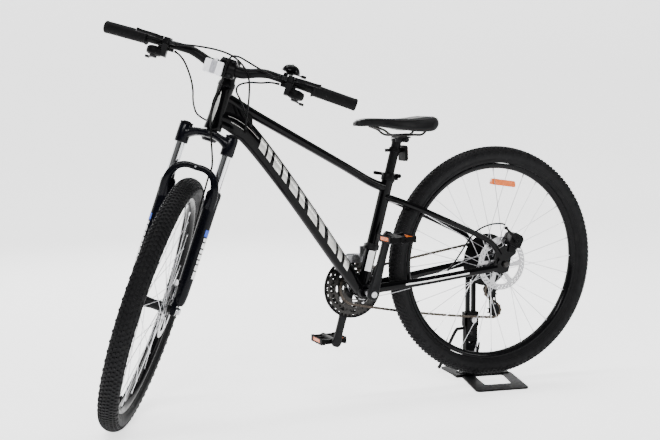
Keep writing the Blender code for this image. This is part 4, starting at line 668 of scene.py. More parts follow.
TOP_TUBE = [((-0.862, 0, 0.8825), 0.0180, 0.0175), ((-0.800, 0, 0.8475), 0.0180, 0.0152),
            ((-0.740, 0, 0.8135), 0.0178, 0.0135), ((-0.500, 0, 0.6805), 0.0178, 0.0122),
            ((-0.412, 0, 0.6300), 0.0172, 0.0128), ((-0.362, 0, 0.6090), 0.0150, 0.0140)]
DOWN_TUBE = [((-0.872, 0, 0.8250), 0.0200, 0.0230), ((-0.815, 0, 0.8010), 0.0220, 0.0300),
             ((-0.762, 0, 0.7530), 0.0235, 0.0285), ((-0.652, 0, 0.6120), 0.0240, 0.0262),
             ((-0.509, 0, 0.4110), 0.0245, 0.0232), ((-0.444, 0, 0.3210), 0.0245, 0.0205)]


def chain_stay(side):
    return [((-0.432, side * 0.024, 0.3190), 0.0090, 0.0135),
            ((-0.400, side * 0.0300, 0.3235), 0.0085, 0.0135),
            ((-0.345, side * 0.0385, 0.3285), 0.0072, 0.0130),
            ((-0.250, side * 0.0510, 0.3380), 0.0080, 0.0120),
            ((-0.120, side * 0.0630, 0.3535), 0.0085, 0.0112),
            ((-0.026, side * 0.0705, 0.3640), 0.0062, 0.0098)]


def seat_stay(side):
    return [(*seat_point(0.278, side * 0.010), 0.0095), (-0.325, side * 0.0290, 0.5700, 0.009),
            (-0.235, side * 0.0480, 0.5320, 0.0086), (-0.080, side * 0.0610, 0.4610, 0.0082),
            (-0.040, side * 0.0675, 0.4350, 0.0080), (-0.016, side * 0.0710, 0.4020, 0.0066)]


def dropout(bm, side):
    outline = [(-0.040, 0.352), (-0.012, 0.345), (0.012, 0.350), (0.017, 0.374)]
    if side < 0:
        outline += [(0.021, 0.392), (0.040, 0.404), (0.036, 0.417), (0.018, 0.430), (-0.010, 0.426),
                    (-0.030, 0.418)]
        hole = circle(0.0045, 20, (0.020, 0.4170))
    else:
        outline = [(-0.040, 0.356), (-0.014, 0.352), (-0.003, 0.328), (0.017, 0.328), *outline[2:],
                   (0.010, 0.392), (-0.008, 0.402), (-0.026, 0.412)]
        hole = circle(0.0045, 20, (0.0070, 0.3390))
    window = rounded([(-0.0295, 0.371), (-0.0160, 0.384), (-0.0245, 0.398), (-0.0300, 0.385)], 0.003)
    plate(bm, rounded(outline, 0.008), side * 0.0710 - 0.003, side * 0.0710 + 0.003, XZ, [hole, window])


def weld_bead(bm, centre, axis, radius, thickness=0.0016):
    """A rippled bead of weld laid round a joint."""
    side, up = basis(axis)
    axis = Vector(axis).normalized()
    rings = []
    steps, sides = 96, 8
    for i in range(steps):
        a = 2 * math.pi * i / steps
        out = side * math.cos(a) + up * math.sin(a)
        size = thickness * (1.0 + 0.16 * math.sin(a * 24))
        rings.append(ring(bm, [Vector(centre) + out * (radius + size * math.cos(2 * math.pi * j / sides))
                               + axis * size * math.sin(2 * math.pi * j / sides) for j in range(sides)]))
    bridge(bm, rings, closed=True)


def frame_set():
    bm = bmesh.new()
    turned(bm, [(0.0157, 0.012), (0.0238, 0.012), (0.0243, 0.015), (0.0240, 0.022), (0.0228, 0.030),
                (0.0222, 0.060), (0.0220, 0.116), (0.0226, 0.122), (0.0230, 0.131), (0.0226, 0.134),
                (0.0157, 0.134)], at=HEAD, axis=HEAD_AXIS, steps=64, closed=True)
    for stations in (TOP_TUBE, DOWN_TUBE):
        bridge(bm, [ring(bm, row) for row in oval(stations)])
    turned(bm, [(0.0140, -0.005), (0.0172, -0.005), (0.0172, 0.318), (0.0181, 0.322), (0.0181, 0.335),
                (0.0140, 0.335)], at=BB, axis=SEAT_AXIS, steps=56, closed=True)
    turned(bm, [(0.0135, -0.0365), (0.0208, -0.0365), (0.0215, -0.0355), (0.0215, 0.0355), (0.0208, 0.0365),
                (0.0135, 0.0365)], at=BB, steps=56, closed=True)
    for side in (-1, 1):
        bridge(bm, [ring(bm, row) for row in oval(chain_stay(side), sides=24)])
        route = smooth(seat_stay(side), 8)
        sweep(bm, route, [point[3] for point in route], sides=24)
        dropout(bm, side)
        weld_bead(bm, seat_point(0.0, side * 0.0362), (0, 1, 0), 0.0205, 0.0010)
    rod(bm, (-0.330, -0.026, 0.5690), (-0.330, 0.026, 0.5690), 0.0070, sides=24)
    rod(bm, (-0.386, -0.031, 0.3240), (-0.386, 0.031, 0.3240), 0.0085, sides=24)
    gusset = [(-0.420, 0.628), (-0.398, 0.631), (-0.370, 0.6235), (-0.360, 0.600)]
    plate(bm, rounded(gusset, 0.004), -0.007, 0.007)
    web = [(-0.868, 0.820), (-0.866, 0.884), (-0.800, 0.8440), (-0.770, 0.8180), (-0.768, 0.7700),
           (-0.815, 0.7960)]
    plate(bm, rounded(web, 0.006), -0.0150, 0.0150)
    weld_bead(bm, (-0.3590, 0, 0.6085), (1.0, 0, -0.42), 0.0148)
    weld_bead(bm, (-0.8500, 0, 0.8760), (1.0, 0, -0.56), 0.0172)
    piece(bm, "frame", "frame_body", GLOSS_BLACK, BIKE, ["frame"], angle=40)

    bm = bmesh.new()
    for at in (-0.0035, 0.134):
        turned(bm, [(0.0160, at), (0.0232, at), (0.0238, at + 0.002), (0.0238, at + 0.0085),
                    (0.0222, at + 0.0130),
                    (0.0160, at + 0.0132)], at=HEAD, axis=HEAD_AXIS, steps=56, closed=True)
    piece(bm, "headset_cups", "frame_body", SATIN_BLACK)
    bm = bmesh.new()
    for x, z in ((-0.582, 0.555), (-0.545, 0.502)):
        turned(bm, [(0.0, 0.0), (0.0048, 0.0), (0.0050, 0.0012), (0.0042, 0.0030), (0.0022, 0.0034),
                    (0.0, 0.0022)],
               at=(x, 0.0, z), axis=(0.815, 0.0, 0.580), steps=20)
    piece(bm, "bottle_bolts", "frame_body", STEEL, bevel=0.0003)
    port = [(0.0060, -0.004), (0.0066, 0.0), (0.0058, 0.006), (0.0042, 0.008), (0.0030, 0.008),
            (0.0030, -0.004)]
    bm = bmesh.new()
    for x, y, z, way in ((-0.7930, -0.0262, 0.7790, (-0.15, -0.80, 0.55)),
                         (-0.7820, -0.0262, 0.7975, (-0.30, -0.75, 0.60)),
                         (-0.8100, 0.0250, 0.7890, (-0.55, 0.75, 0.30))):
        turned(bm, port, at=(x, y, z), axis=way, steps=24, closed=True)
    piece(bm, "cable_ports", "frame_body", PLASTIC)


def patch(bm, stations, share, sector, lift=0.0004, per_span=24):
    """A thin skin on an oval tube, used for painted marks."""
    outer = oval(stations, per_span, lift=lift, share=share, sector=sector)
    inner = oval(stations, per_span, lift=lift * 0.2, share=share, sector=sector)
    rings = [ring(bm, [*top, *reversed(bottom)]) for top, bottom in zip(outer, inner)]
    bridge(bm, rings)


def border(grid):
    """The outer corners of a grid in order round its edge."""
    return grid[0] + [row[-1] for row in grid[1:-1]] + grid[-1][::-1] + [row[0] for row in grid[-2:0:-1]]


def slanted_patch(bm, stations, start, length, sector, slant=0.012, lift=0.0005):
    """A parallelogram of skin whose ends lean along the tube."""
    rows = []
    for index in range(9):
        share = index / 8
        angle = sector[0] + (sector[1] - sector[0]) * share
        rows.append((start + slant * share, angle))
    top, under = [], []
    for layer, height in ((top, lift), (under, lift * 0.2)):
        for begin, angle in rows:
            line = []
            for step in range(9):
                line.append(tube_point(stations, begin + length * step / 8, angle, height))
            layer.append(line)
    grid_t = [[bm.verts.new(p) for p in line] for line in top]
    grid_u = [[bm.verts.new(p) for p in line] for line in under]
    for a in range(8):
        for b in range(8):
            bm.faces.new((grid_t[a][b], grid_t[a][b + 1], grid_t[a + 1][b + 1], grid_t[a + 1][b]))
            bm.faces.new((grid_u[a][b], grid_u[a + 1][b], grid_u[a + 1][b + 1], grid_u[a][b + 1]))
    border_t = border(grid_t)
    border_u = border(grid_u)
    for i in range(len(border_t)):
        j = (i + 1) % len(border_t)
        bm.faces.new((border_t[i], border_u[i], border_u[j], border_t[j]))


def tube_point(stations, share, angle, lift):
    rows = [(*centre, wide, high) for centre, wide, high in stations]
    path = smooth(rows, 12)
    place = max(0.0, min(0.99999, share)) * (len(path) - 1)
    index = int(place)
    mix = place - index
    row = path[index] * (1 - mix) + path[index + 1] * mix
    along = Vector((path[min(index + 2, len(path) - 1)] - path[max(index - 1, 0)])[:3]).normalized()
    side = Vector((0, 1, 0))
    side = (side - along * side.dot(along)).normalized()
    up = side.cross(along)
    if up.z < 0:
        up = -up
    a = math.radians(angle)
    return Vector(row[:3]) + side * (row[3] + lift) * math.cos(a) + up * (row[4] + lift) * math.sin(a)


def marks():
    """Plain generic bars and lines where the real frame carries its decals, and silver crescents on the head
    tube that are a painted reflection stripe.
    """
    for side in (-1, 1):
        bm = bmesh.new()
        low, high = (138, 196) if side < 0 else (42, -16)
        share = 0.405
        for length, gap in ((0.034, 0.010), (0.020, 0.014)) * 5 + ((0.030, 0.0),):
            slanted_patch(bm, DOWN_TUBE, share, length, (low, high), slant=0.022)
            share += length + gap
        piece(bm, "down_tube_bars_" + ("left" if side < 0 else "right"), "frame_body", SILVER_PRINT_AND_PAINTED_REFLECTION)
        bm = bmesh.new()
        patch(bm, chain_stay(side), (0.46, 0.80), (168, 188) if side < 0 else (12, -8), 0.0003)
        piece(bm, "chain_stay_line_" + ("left" if side < 0 else "right"), "frame_body", WHITE_MARK)
        bm = bmesh.new()
        patch(bm, DOWN_TUBE, (0.10, 0.40), (162, 164.4) if side < 0 else (18, 15.6), 0.0004)
        patch(bm, DOWN_TUBE, (0.14, 0.30), (188, 189.6) if side < 0 else (-8, -9.6), 0.0004)
        piece(bm, "gusset_lines_" + ("left" if side < 0 else "right"), "frame_body", SILVER_PRINT_AND_PAINTED_REFLECTION)
    # Silver crescents down both sides of the head tube: a painted reflection stripe standing in for the gloss
    # highlight, not a decal.
    bm = bmesh.new()
    head = []
    for index in range(15):
        t = index / 14
        head.append((0.026 + 0.092 * t, 0.0045 * math.sin(math.pi * t) + 0.0003))
    front, sideways = Vector((-HEAD_AXIS.z, 0, HEAD_AXIS.x)), Vector((0, 1, 0))
    for base, way in ((-52, 1), (52, -1)):
        rings = []
        for height, half in head:
            radius = 0.0226 + 0.0003
            points = []
            for lift, order in ((0.0004, (-1, 0, 1)), (0.0, (1, 0, -1))):
                for wide in order:
                    angle = math.radians(base) + way * 9 * half + wide * half / radius
                    out = front * math.cos(angle) + sideways * math.sin(angle)
                    points.append(HEAD + HEAD_AXIS * height + out * (radius + lift))
            rings.append(ring(bm, points))
        bridge(bm, rings)
    piece(bm, "head_tube_painted_reflection", "frame_body", SILVER_PRINT_AND_PAINTED_REFLECTION)
    bm = bmesh.new()
    rings = []
    for distance in (0.058, 0.075, 0.095, 0.118):
        axis_side = Vector((0, 1, 0))
        front = Vector((-SEAT_AXIS.z, 0, SEAT_AXIS.x))
        points = []
        for lift, order in ((0.0005, range(-4, 5)), (0.0001, range(4, -5, -1))):
            for step in order:
                angle = math.radians(-78 + step * 8)
                out = front * math.cos(angle) + axis_side * math.sin(angle)
                points.append(seat_point(distance) + out * (0.0172 + lift))
        rings.append(ring(bm, points))
    bridge(bm, rings)
    piece(bm, "seat_tube_label", "frame_body", WHITE_MARK)


# ---------------------------------------------------------------- seat
def seat():
    low, high = seat_point(0.324), seat_point(0.345)
    back = Vector((SEAT_AXIS.z, 0.0, -SEAT_AXIS.x))
    centre = (low + high) / 2 + back * 0.0235 + SEAT_AXIS * 0.010
    bm = bmesh.new()
    turned(bm, [(0.0141, 0.3454), (0.0192, 0.3454), (0.0205, 0.3435), (0.0205, 0.3260), (0.0195, 0.3240),
                (0.0185, 0.3240), (0.0185, 0.3356), (0.0141, 0.3356)], at=BB, axis=SEAT_AXIS, steps=56,
           closed=True)
    turned(bm, [(0.0031, -0.022), (0.0055, -0.022), (0.0062, -0.021), (0.0062, 0.0175), (0.0055, 0.0185),
                (0.0031, 0.0185)], at=centre, steps=32, closed=True)
    block(bm, centre - Vector((0.008, 0.009, 0.0125)), centre + Vector((0.002, 0.009, 0.0050)))
    piece(bm, "seat_collar", "frame_body", SATIN_BLACK, BIKE, ["seat_collar"], bevel=0.0006)
    cam_lever("seat_qr_lever", "seat_lever_body", BIKE, centre + Vector((0, 0.0245, 0)),
              Vector((-0.060, 0, 0.010)))

    top = seat_point(0.446)
    bm = bmesh.new()
    turned(bm, [(0.0122, 0.180), (0.0136, 0.180), (0.0136, 0.438), (0.0150, 0.4415), (0.0150, 0.4450),
                (0.0122, 0.4452)], at=BB, axis=SEAT_AXIS, steps=56, closed=True)
    for step in range(9):
        at = 0.352 + 0.006 * step
        turned(bm, [(0.01355, at), (0.01372, at + 0.0001), (0.01372, at + 0.0005), (0.01355, at + 0.0006)],
               at=BB, axis=SEAT_AXIS, steps=40, closed=True)
    piece(bm, "seatpost", "seat_body", SATIN_BLACK, BIKE, ["seatpost"], bevel=0.0003)
    bm = bmesh.new()
    block(bm, top + Vector((-0.012, -0.0160, -0.006)), top + Vector((0.030, 0.0160, 0.0035)))
    block(bm, top + Vector((-0.008, -0.0250, 0.0042)), top + Vector((0.032, 0.0250, 0.0085)))
    rod(bm, top + Vector((0.018, -0.026, 0.0)), top + Vector((0.018, 0.026, 0.0)), 0.0082, sides=28)
    for side in (-1, 1):
        rod(bm, top + Vector((0.018, side * 0.026, 0)), top + Vector((0.018, side * 0.0300, 0)), 0.0055,
            sides=6)
    piece(bm, "saddle_clamp", "seat_body", GREY_BLACK, bevel=0.0012)

    rail_z = top.z + 0.0135
    route = [(-0.240, 0.040, 0.785), (-0.258, 0.034, rail_z + 0.002), (-0.282, 0.024, rail_z),
             (-0.348, 0.022, rail_z), (-0.375, 0.020, 0.7760), (-0.402, 0.012, 0.7850), (-0.410, 0.0, 0.7860)]
    loop = route + [(x, -y, z) for x, y, z in reversed(route[:-1])]
    bm = bmesh.new()
    sweep(bm, smooth(loop, 6), 0.0034, sides=16)
    piece(bm, "saddle_rails", "seat_body", DARK_STEEL, BIKE, ["saddle_rails"])

    stations = [(-0.4595, 0.0060, 0.7965, 0.7900), (-0.4575, 0.0125, 0.8000, 0.7885),
                (-0.448, 0.0195, 0.8050, 0.7870), (-0.420, 0.0240, 0.8090, 0.7870),
                (-0.375, 0.0290, 0.8085, 0.7840),
                (-0.330, 0.0400, 0.8070, 0.7770), (-0.290, 0.0590, 0.8080, 0.7705),
                (-0.250, 0.0715, 0.8120, 0.7700),
                (-0.230, 0.0690, 0.8135, 0.7760), (-0.217, 0.0570, 0.8100, 0.7880),
                (-0.2125, 0.0400, 0.8050, 0.7940)]
    rings = []
    section = ((0.0, 0.0), (0.22, 0.004), (0.45, 0.012), (0.66, 0.045), (0.84, 0.16), (0.95, 0.40),
               (1.0, 0.70),
               (0.985, 0.90), (0.93, 1.0), (0.80, 0.98), (0.62, 0.84), (0.30, 0.76), (0.0, 0.76))
    for x, half, crown, edge in [tuple(row) for row in smooth(stations, 5)]:
        depth = crown - edge
        dip = 0.0020 * max(0.0, 1.0 - abs(x + 0.32) / 0.11)
        points = []
        for y, drop in section:
            z = crown - depth * drop - dip * max(0.0, 1 - (y / 0.35) ** 2) * (1.0 if drop < 0.5 else 0.0)
            points.append((x, y * half, z))
        rings.append(ring_loop(points))
    bm = bmesh.new()
    bridge(bm, [ring(bm, row) for row in rings])
    cushion = piece(bm, "saddle", "seat_body", VINYL, BIKE, ["saddle"], angle=80, subdivide=1)
    bm = bmesh.new()
    for side in (-1, 1):
        for share, drop in ((0.60, 0.032), (0.84, 0.16)):
            line = []
            for x, half, crown, edge in [tuple(row) for row in smooth(stations[2:-1], 6)]:
                line.append((x, side * half * share, crown - (crown - edge) * drop + 0.0002))
            sweep(bm, line, 0.0008, sides=6)
    piece(bm, "saddle_seams", "seat_body", GRIP)
    bm = bmesh.new()
    rows = []
    for x, half, crown, edge in [tuple(row) for row in smooth(stations[2:-1], 4)]:
        low_z = crown - (crown - edge) * 0.90
        section = ((-0.90, low_z), (-0.5, low_z - 0.001), (0.5, low_z - 0.001), (0.90, low_z),
                   (0.90, low_z + 0.003), (0.5, low_z + 0.003), (-0.5, low_z + 0.003), (-0.90, low_z + 0.003))
        rows.append(ring(bm, [(x, y * half, z) for y, z in section]))
    bridge(bm, rows)
    piece(bm, "saddle_shell", "seat_body", PLASTIC, bevel=0.0004)

    place = seat_point(0.415)
    bm = bmesh.new()
    turned(bm, [(0.0141, 0.409), (0.0166, 0.409), (0.0172, 0.410), (0.0172, 0.420), (0.0166, 0.421),
                (0.0141, 0.421)],
           at=BB, axis=SEAT_AXIS, steps=48, closed=True)
    block(bm, place + Vector((-0.0300, -0.0045, -0.0045)), place + Vector((-0.0150, 0.0045, 0.0045)))
    block(bm, place + Vector((0.0150, -0.005, -0.006)), place + Vector((0.0270, 0.005, 0.006)))
    plate(bm, [(y, z + place.z - 0.0095) for y, z in rounded([(-0.023, -0.0225), (0.023, -0.0225), (0.020,
                                                                                                    0.0225),
              (-0.020, 0.0225)], 0.006)], place.x + 0.0230, place.x + 0.0315, YZ)
    piece(bm, "rear_reflector", "seat_body", PLASTIC, BIKE, ["rear_reflector"], bevel=0.0008)
    bm = bmesh.new()
    plate(bm, [(y, z + place.z - 0.0095) for y, z in rounded([(-0.0205, -0.0200), (0.0205, -0.0200), (0.0178,
                                                                                                      0.0200),
              (-0.0178, 0.0200)], 0.005)], place.x + 0.0310, place.x + 0.0338, YZ)
    piece(bm, "rear_reflector_lens", "seat_body", RED, bevel=0.0006)


def ring_loop(half):
    """A closed section from the half with y at or above zero."""
    other = [(x, -y, z) for x, y, z in reversed(half[1:-1])]
    return [Vector(point) for point in half + other]


def cam_lever(name, body, space, at, reach, outward=0.003):
    along = reach.normalized()
    barrel = along.cross(Vector((0, 1, 0)))
    bm = bmesh.new()
    rod(bm, at - barrel * 0.0078, at + barrel * 0.0078, 0.0055, sides=32)
    side = Vector((0, outward, 0))
    line = smooth([at, at + reach * 0.25 + side * 0.6, at + reach * 0.6 + side, at + reach + side * 0.4], 5)
    widths = [0.0042 + 0.0014 * (i / (len(line) - 1)) ** 2 for i in range(len(line) - 1)] + [0.0040]
    sweep(bm, line, widths, sides=18, up=(0, 1, 0), flat=0.62)
    piece(bm, name, body, SATIN_BLACK, space, [name], bevel=0.0005)


# ---------------------------------------------------------------- drivetrain
def cog_outline(teeth, phase=0.0, gap=0.0):
    """Rounded teeth standing on the root circle of a chain wheel."""
    pitch_radius = CHAIN_PITCH / 2 / math.sin(math.pi / teeth)
    root, tip = pitch_radius - 0.0040 - gap, pitch_radius + 0.0026 - gap
    outline = []
    for tooth in range(teeth):
        base = 2 * math.pi * (tooth + phase) / teeth
        for share, radius in ((-0.26, root), (-0.17, root + 0.002), (-0.075, tip), (0.075, tip),
                              (0.17, root + 0.002),
                              (0.26, root), (0.5, root - 0.0003)):
            angle = base + share * 2 * math.pi / teeth
            outline.append((radius * math.cos(angle), radius * math.sin(angle)))
    return outline


def slots(count, radius, long, wide, phase=0.0):
    """Round-ended slots that follow a circle."""
    out = []
    for index in range(count):
        middle = 2 * math.pi * (index + phase) / count
        points = []
        for way in (1, -1):
            for step in range(4):
                a = middle + way * long / 2 / radius * (step / 1.5 - 1)
                r = radius + way * wide / 2
                points.append((r * math.cos(a), r * math.sin(a)))
        out.append(rounded(points, wide * 0.45, 2))
    return out


def drivetrain():
    for teeth, y, hole, cut in ((24, RING_Y[0], 0.033, slots(4, 0.0385, 0.018, 0.004)),
                                (34, RING_Y[1], 0.047, slots(8, 0.0555, 0.018, 0.006)),
                                (42, RING_Y[2], 0.062, slots(12, 0.0715, 0.016, 0.006))):
        bm = bmesh.new()
        plate(bm, cog_outline(teeth), y - 0.0010, y + 0.0010, XZ, [circle(hole, 64), *cut])
        name = "chainring_%d" % teeth
        hides = ["chainrings"] if teeth == 24 else []
        piece(bm, name, "crank_body", DARK_STEEL, CRANK, hides, bevel=0.0002)
    bm = bmesh.new()
    plate(bm, circle(0.0912, 128), 0.0594, 0.0612, XZ,
          [circle(0.0560, 72), *slots(24, 0.0800, 0.0105, 0.0050), *slots(24, 0.0690, 0.0075, 0.0032, 0.5)])
    piece(bm, "chain_guard", "crank_body", SATIN_BLACK, CRANK, bevel=0.0004)
    bm = bmesh.new()
    for index in range(4):
        angle = math.radians(CRANK_ANGLE + 45 + 90 * index)
        for radius, lo, hi in ((0.0520, 0.0440, 0.0640), (0.0600, 0.0500, 0.0640)):
            x, z = radius * math.cos(angle), radius * math.sin(angle)
            rod(bm, (x, lo, z), (x, hi, z), 0.0042, sides=20)
    piece(bm, "chainring_bolts", "crank_body", STEEL, CRANK, bevel=0.0006)

    bm = bmesh.new()
    for index, (teeth, y) in enumerate(zip(COG_TEETH, COG_Y)):
        cut = slots(6, max(0.026, 0.0020 * teeth - 0.012), 0.012, 0.006, 0.1 * index) if teeth > 22 else []
        plate(bm, cog_outline(teeth, 0.3 * index), y - 0.0009, y + 0.0009, XZ, [circle(0.0165, 40), *cut])
    piece(bm, "cassette", "cassette_body", DARK_STEEL, REAR, ["cassette"], bevel=0.00015)
    bm = bmesh.new()
    turned(bm, [(0.0094, 0.0262), (0.0160, 0.0262), (0.0160, 0.0608), (0.0130, 0.0620), (0.0094, 0.0620)],
           steps=48, closed=True)
    piece(bm, "cassette_lockring", "cassette_body", GREY_BLACK, REAR, bevel=0.0003)

    for side, name in ((-1, "left"), (1, "right")):
        crank(side, name)
    chain()


def crank(side, name):
    """Forged arm with a hollowed outer face, its bolt and the pedal."""
    angle = CRANK_ANGLE + (180 if side > 0 else 0)
    along = direction(angle)
    across = Vector((-along.z, 0.0, along.x))
    stations = smooth([(-0.0160, 0.0095), (-0.0110, 0.0150), (0.002, 0.0172), (0.020, 0.0150),
                       (0.060, 0.0128),
                       (0.120, 0.0112), (0.150, 0.0118), (0.168, 0.0138), (0.179, 0.0112), (0.1835, 0.0062)],
                      5)
    bm = bmesh.new()
    rings = []
    for reach, half in stations:
        inner, outer = side * 0.0692, side * 0.0823
        centre = along * reach
        points = []
        for w, o in ((-0.86, 0), (-1, 0.18), (-1, 0.80), (-0.80, 1), (-0.45, 0.90), (0.45, 0.90), (0.80, 1),
                     (1, 0.80),
                     (1, 0.18), (0.86, 0)):
            depth = o if 0.015 < reach < 0.155 or abs(o - 0.90) > 0.01 else 1.0
            points.append(centre + across * half * w + Vector((0, inner + (outer - inner) * depth, 0)))
        rings.append(ring(bm, points))
    bridge(bm, rings)
    eye = along * CRANK_LENGTH
    rod(bm, eye + Vector((0, side * 0.0688, 0)), eye + Vector((0, side * 0.0828, 0)), 0.0132, sides=40)
    if side > 0:
        for index in range(4):
            arm = direction(CRANK_ANGLE + 45 + 90 * index)
            line = [arm * 0.014 + Vector((0, 0.0690, 0)), arm * 0.036 + Vector((0, 0.0680, 0)),
                    arm * 0.057 + Vector((0, 0.0665, 0))]
            sweep(bm, line, [0.0085, 0.0062, 0.0052], sides=20, up=(0, 1, 0), flat=0.55)
            rod(bm, arm * 0.056 + Vector((0, 0.0635, 0)), arm * 0.056 + Vector((0, 0.0690, 0)), 0.0062,
                sides=24)
    piece(bm, "crank_" + name, "crank_body", GREY_BLACK, CRANK, ["crank_" + name],
          bevel=0.0008, angle=30)
    bm = bmesh.new()
    rod(bm, (0, side * 0.0590, 0), (0, side * 0.0700, 0), 0.0150, sides=40)
    if side > 0:
        rod(bm, (0, -0.0690, 0), (0, 0.060, 0), 0.0085, sides=32)
    turned(bm, [(0.0, side * 0.0845), (0.0035, side * 0.0845), (0.0038, side * 0.0862),
                (0.0078, side * 0.0862),
                (0.0088, side * 0.0850), (0.0090, side * 0.0815), (0.0, side * 0.0815)], steps=32)
    piece(bm, "crank_bolt_" + name, "crank_body", STEEL, CRANK, bevel=0.0003)
    bm = bmesh.new()
    rod(bm, eye + Vector((0, side * 0.0700, 0)), eye + Vector((0, side * 0.1725, 0)), 0.0055, 0.0050,
        sides=24)
    rod(bm, eye + Vector((0, side * 0.0828, 0)), eye + Vector((0, side * 0.0865, 0)), 0.0085, sides=6)
    piece(bm, name + "_pedal_axle", "crank_body", DARK_STEEL, CRANK, bevel=0.0003)

    x, z = eye.x, eye.z
    near, far = side * 0.0890, side * 0.1775
    bm = bmesh.new()
    turned(bm, [(0.0062, near), (0.0112, near), (0.0112, near + side * 0.006), (0.0095, near + side * 0.012),
                (0.0090, far - side * 0.014), (0.0108, far - side * 0.006), (0.0100, far), (0.0062, far)],
           at=(x, 0, z), steps=40, closed=True)
    for y in (near + side * 0.0035, far - side * 0.0045):
        block(bm, (x - 0.034, y - 0.0022, z - 0.0070), (x + 0.034, y + 0.0022, z + 0.0070))
    for way in (-1, 1):
        outline = []
        for step in range(15):
            lift = 0.0108 if step % 2 else 0.0075
            outline.append((near + side * (0.004 + 0.0056 * step), z + lift))
        outline += [(a, 2 * z - b) for a, b in reversed(outline)]
        middle = (near + far) / 2
        hole = rounded([(middle - 0.0260, z - 0.0058), (middle + 0.0260, z - 0.0058),
                        (middle + 0.0260, z + 0.0058),
                        (middle - 0.0260, z + 0.0058)], 0.003)
        lo, hi = sorted((x + way * 0.0362, x + way * 0.0405))
        plate(bm, outline, lo, hi, YZ, [hole])
        for share in (0.26, 0.74):
            y = near + (far - near) * share
            lo, hi = sorted((x, x + way * 0.037))
            block(bm, (lo, y - 0.0022, z - 0.0042), (hi, y + 0.0022, z + 0.0042))
        for y, turn in ((near + side * 0.004, 1), (far - side * 0.005, -1)):
            lo, hi = sorted((x + way * 0.030, x + way * 0.0385))
            block(bm, (lo, y - 0.003, z - 0.0088), (hi, y + 0.003, z + 0.0088))
    piece(bm, name + "_pedal", name + "_pedal_body", PLASTIC, CRANK, [name + "_pedal"],
          bevel=0.0006)
    bm = bmesh.new()
    middle = (near + far) / 2
    for way in (-1, 1):
        lo, hi = sorted((x + way * 0.0355, x + way * 0.0394))
        block(bm, (lo, middle - 0.0255, z - 0.0054), (hi, middle + 0.0255, z + 0.0054))
    piece(bm, name + "_pedal_reflectors", name + "_pedal_body", AMBER, CRANK, bevel=0.0006)


def belt(circles, sag):
    """Pitch line of the chain round (centre, radius, sense) circles; its last run sags."""
    leave, arrive = [], []
    for first, second in zip(circles, circles[1:] + circles[:1]):
        line = Vector(second[0]) - Vector(first[0])
        offset = (first[2] * first[1] - second[2] * second[1]) / line.length
        normal = math.atan2(line.y, line.x) + math.acos(offset)
        leave.append(normal if first[2] > 0 else normal + math.pi)
        arrive.append(normal if second[2] > 0 else normal + math.pi)
    path = []
    for index, (centre, radius, sense) in enumerate(circles):
        start = arrive[index - 1]
        sweep_angle = (leave[index] - start) % (2 * math.pi)
        if sense > 0:
            sweep_angle -= 2 * math.pi
        steps = max(3, math.ceil(abs(sweep_angle) / 0.08))
        for step in range(steps + 1):
            angle = start + sweep_angle * step / steps
            path.append(Vector((centre[0] + radius * math.cos(angle), centre[1] + radius * math.sin(angle))))
    start, end = path[-1], path[0]
    for step in range(1, 24):
        share = step / 24
        path.append(start.lerp(end, share) + Vector((0.0, -sag * 4 * share * (1 - share))))
    return path


GUIDE, TENSION = Vector((0.025, 0.0435, 0.2740)), Vector((0.036, 0.0435, 0.2120))


def chain():
    """Roller chain: waisted outer and inner plates with pins, along the chain's pitch line."""
    def pitch_radius(teeth):
        return CHAIN_PITCH / 2 / math.sin(math.pi / teeth)
    path = belt([((BB.x, BB.z), pitch_radius(24), 1), ((RA.x, RA.z), pitch_radius(28), 1),
                 ((GUIDE.x, GUIDE.z), pitch_radius(11), -1), ((TENSION.x, TENSION.z), pitch_radius(11), 1)],
                0.0075)
    path.append(path[0])
    lengths = [0.0]
    for a, b in zip(path, path[1:]):
        lengths.append(lengths[-1] + (b - a).length)
    links = 2 * round(lengths[-1] / CHAIN_PITCH / 2)
    pins = []
    for index in range(links + 1):
        target = lengths[-1] * (index % links) / links
        spot = max(i for i, l in enumerate(lengths[:-1]) if l <= target + 1e-9)
        share = (target - lengths[spot]) / max(1e-9, lengths[spot + 1] - lengths[spot])
        pins.append(path[spot].lerp(path[spot + 1], share))
    bm = bmesh.new()
    y = RING_Y[0]
    for index in range(links):
        a, b = pins[index], pins[index + 1]
        along = (b - a).normalized()
        across = Vector((-along.y, along.x))
        outline = []
        half = 0.0037
        for centre, start in ((a, 90), (b, -90)):
            for step in range(7):
                t = math.radians(start + 30 * step)
                outline.append(centre + along * half * math.cos(t) + across * half * math.sin(t))
            if centre is a:
                outline.append((a + b) / 2 - across * 0.0028)
        outline.append((a + b) / 2 + across * 0.0028)
        heights = (0.0021, 0.0031) if index % 2 else (0.0011, 0.0020)
        for way in (-1, 1):
            rings = [ring(bm, [(p.x, y + way * h, p.y) for p in outline]) for h in heights]
            bridge(bm, rings)
        rod(bm, (a.x, y - 0.0033, a.y), (a.x, y + 0.0033, a.y), 0.0017, sides=10)
        rod(bm, (a.x, y - 0.0011, a.y), (a.x, y + 0.0011, a.y), 0.0036, sides=12)
    piece(bm, "chain", "frame_body", CHAIN_STEEL, BIKE, ["chain"], angle=30)


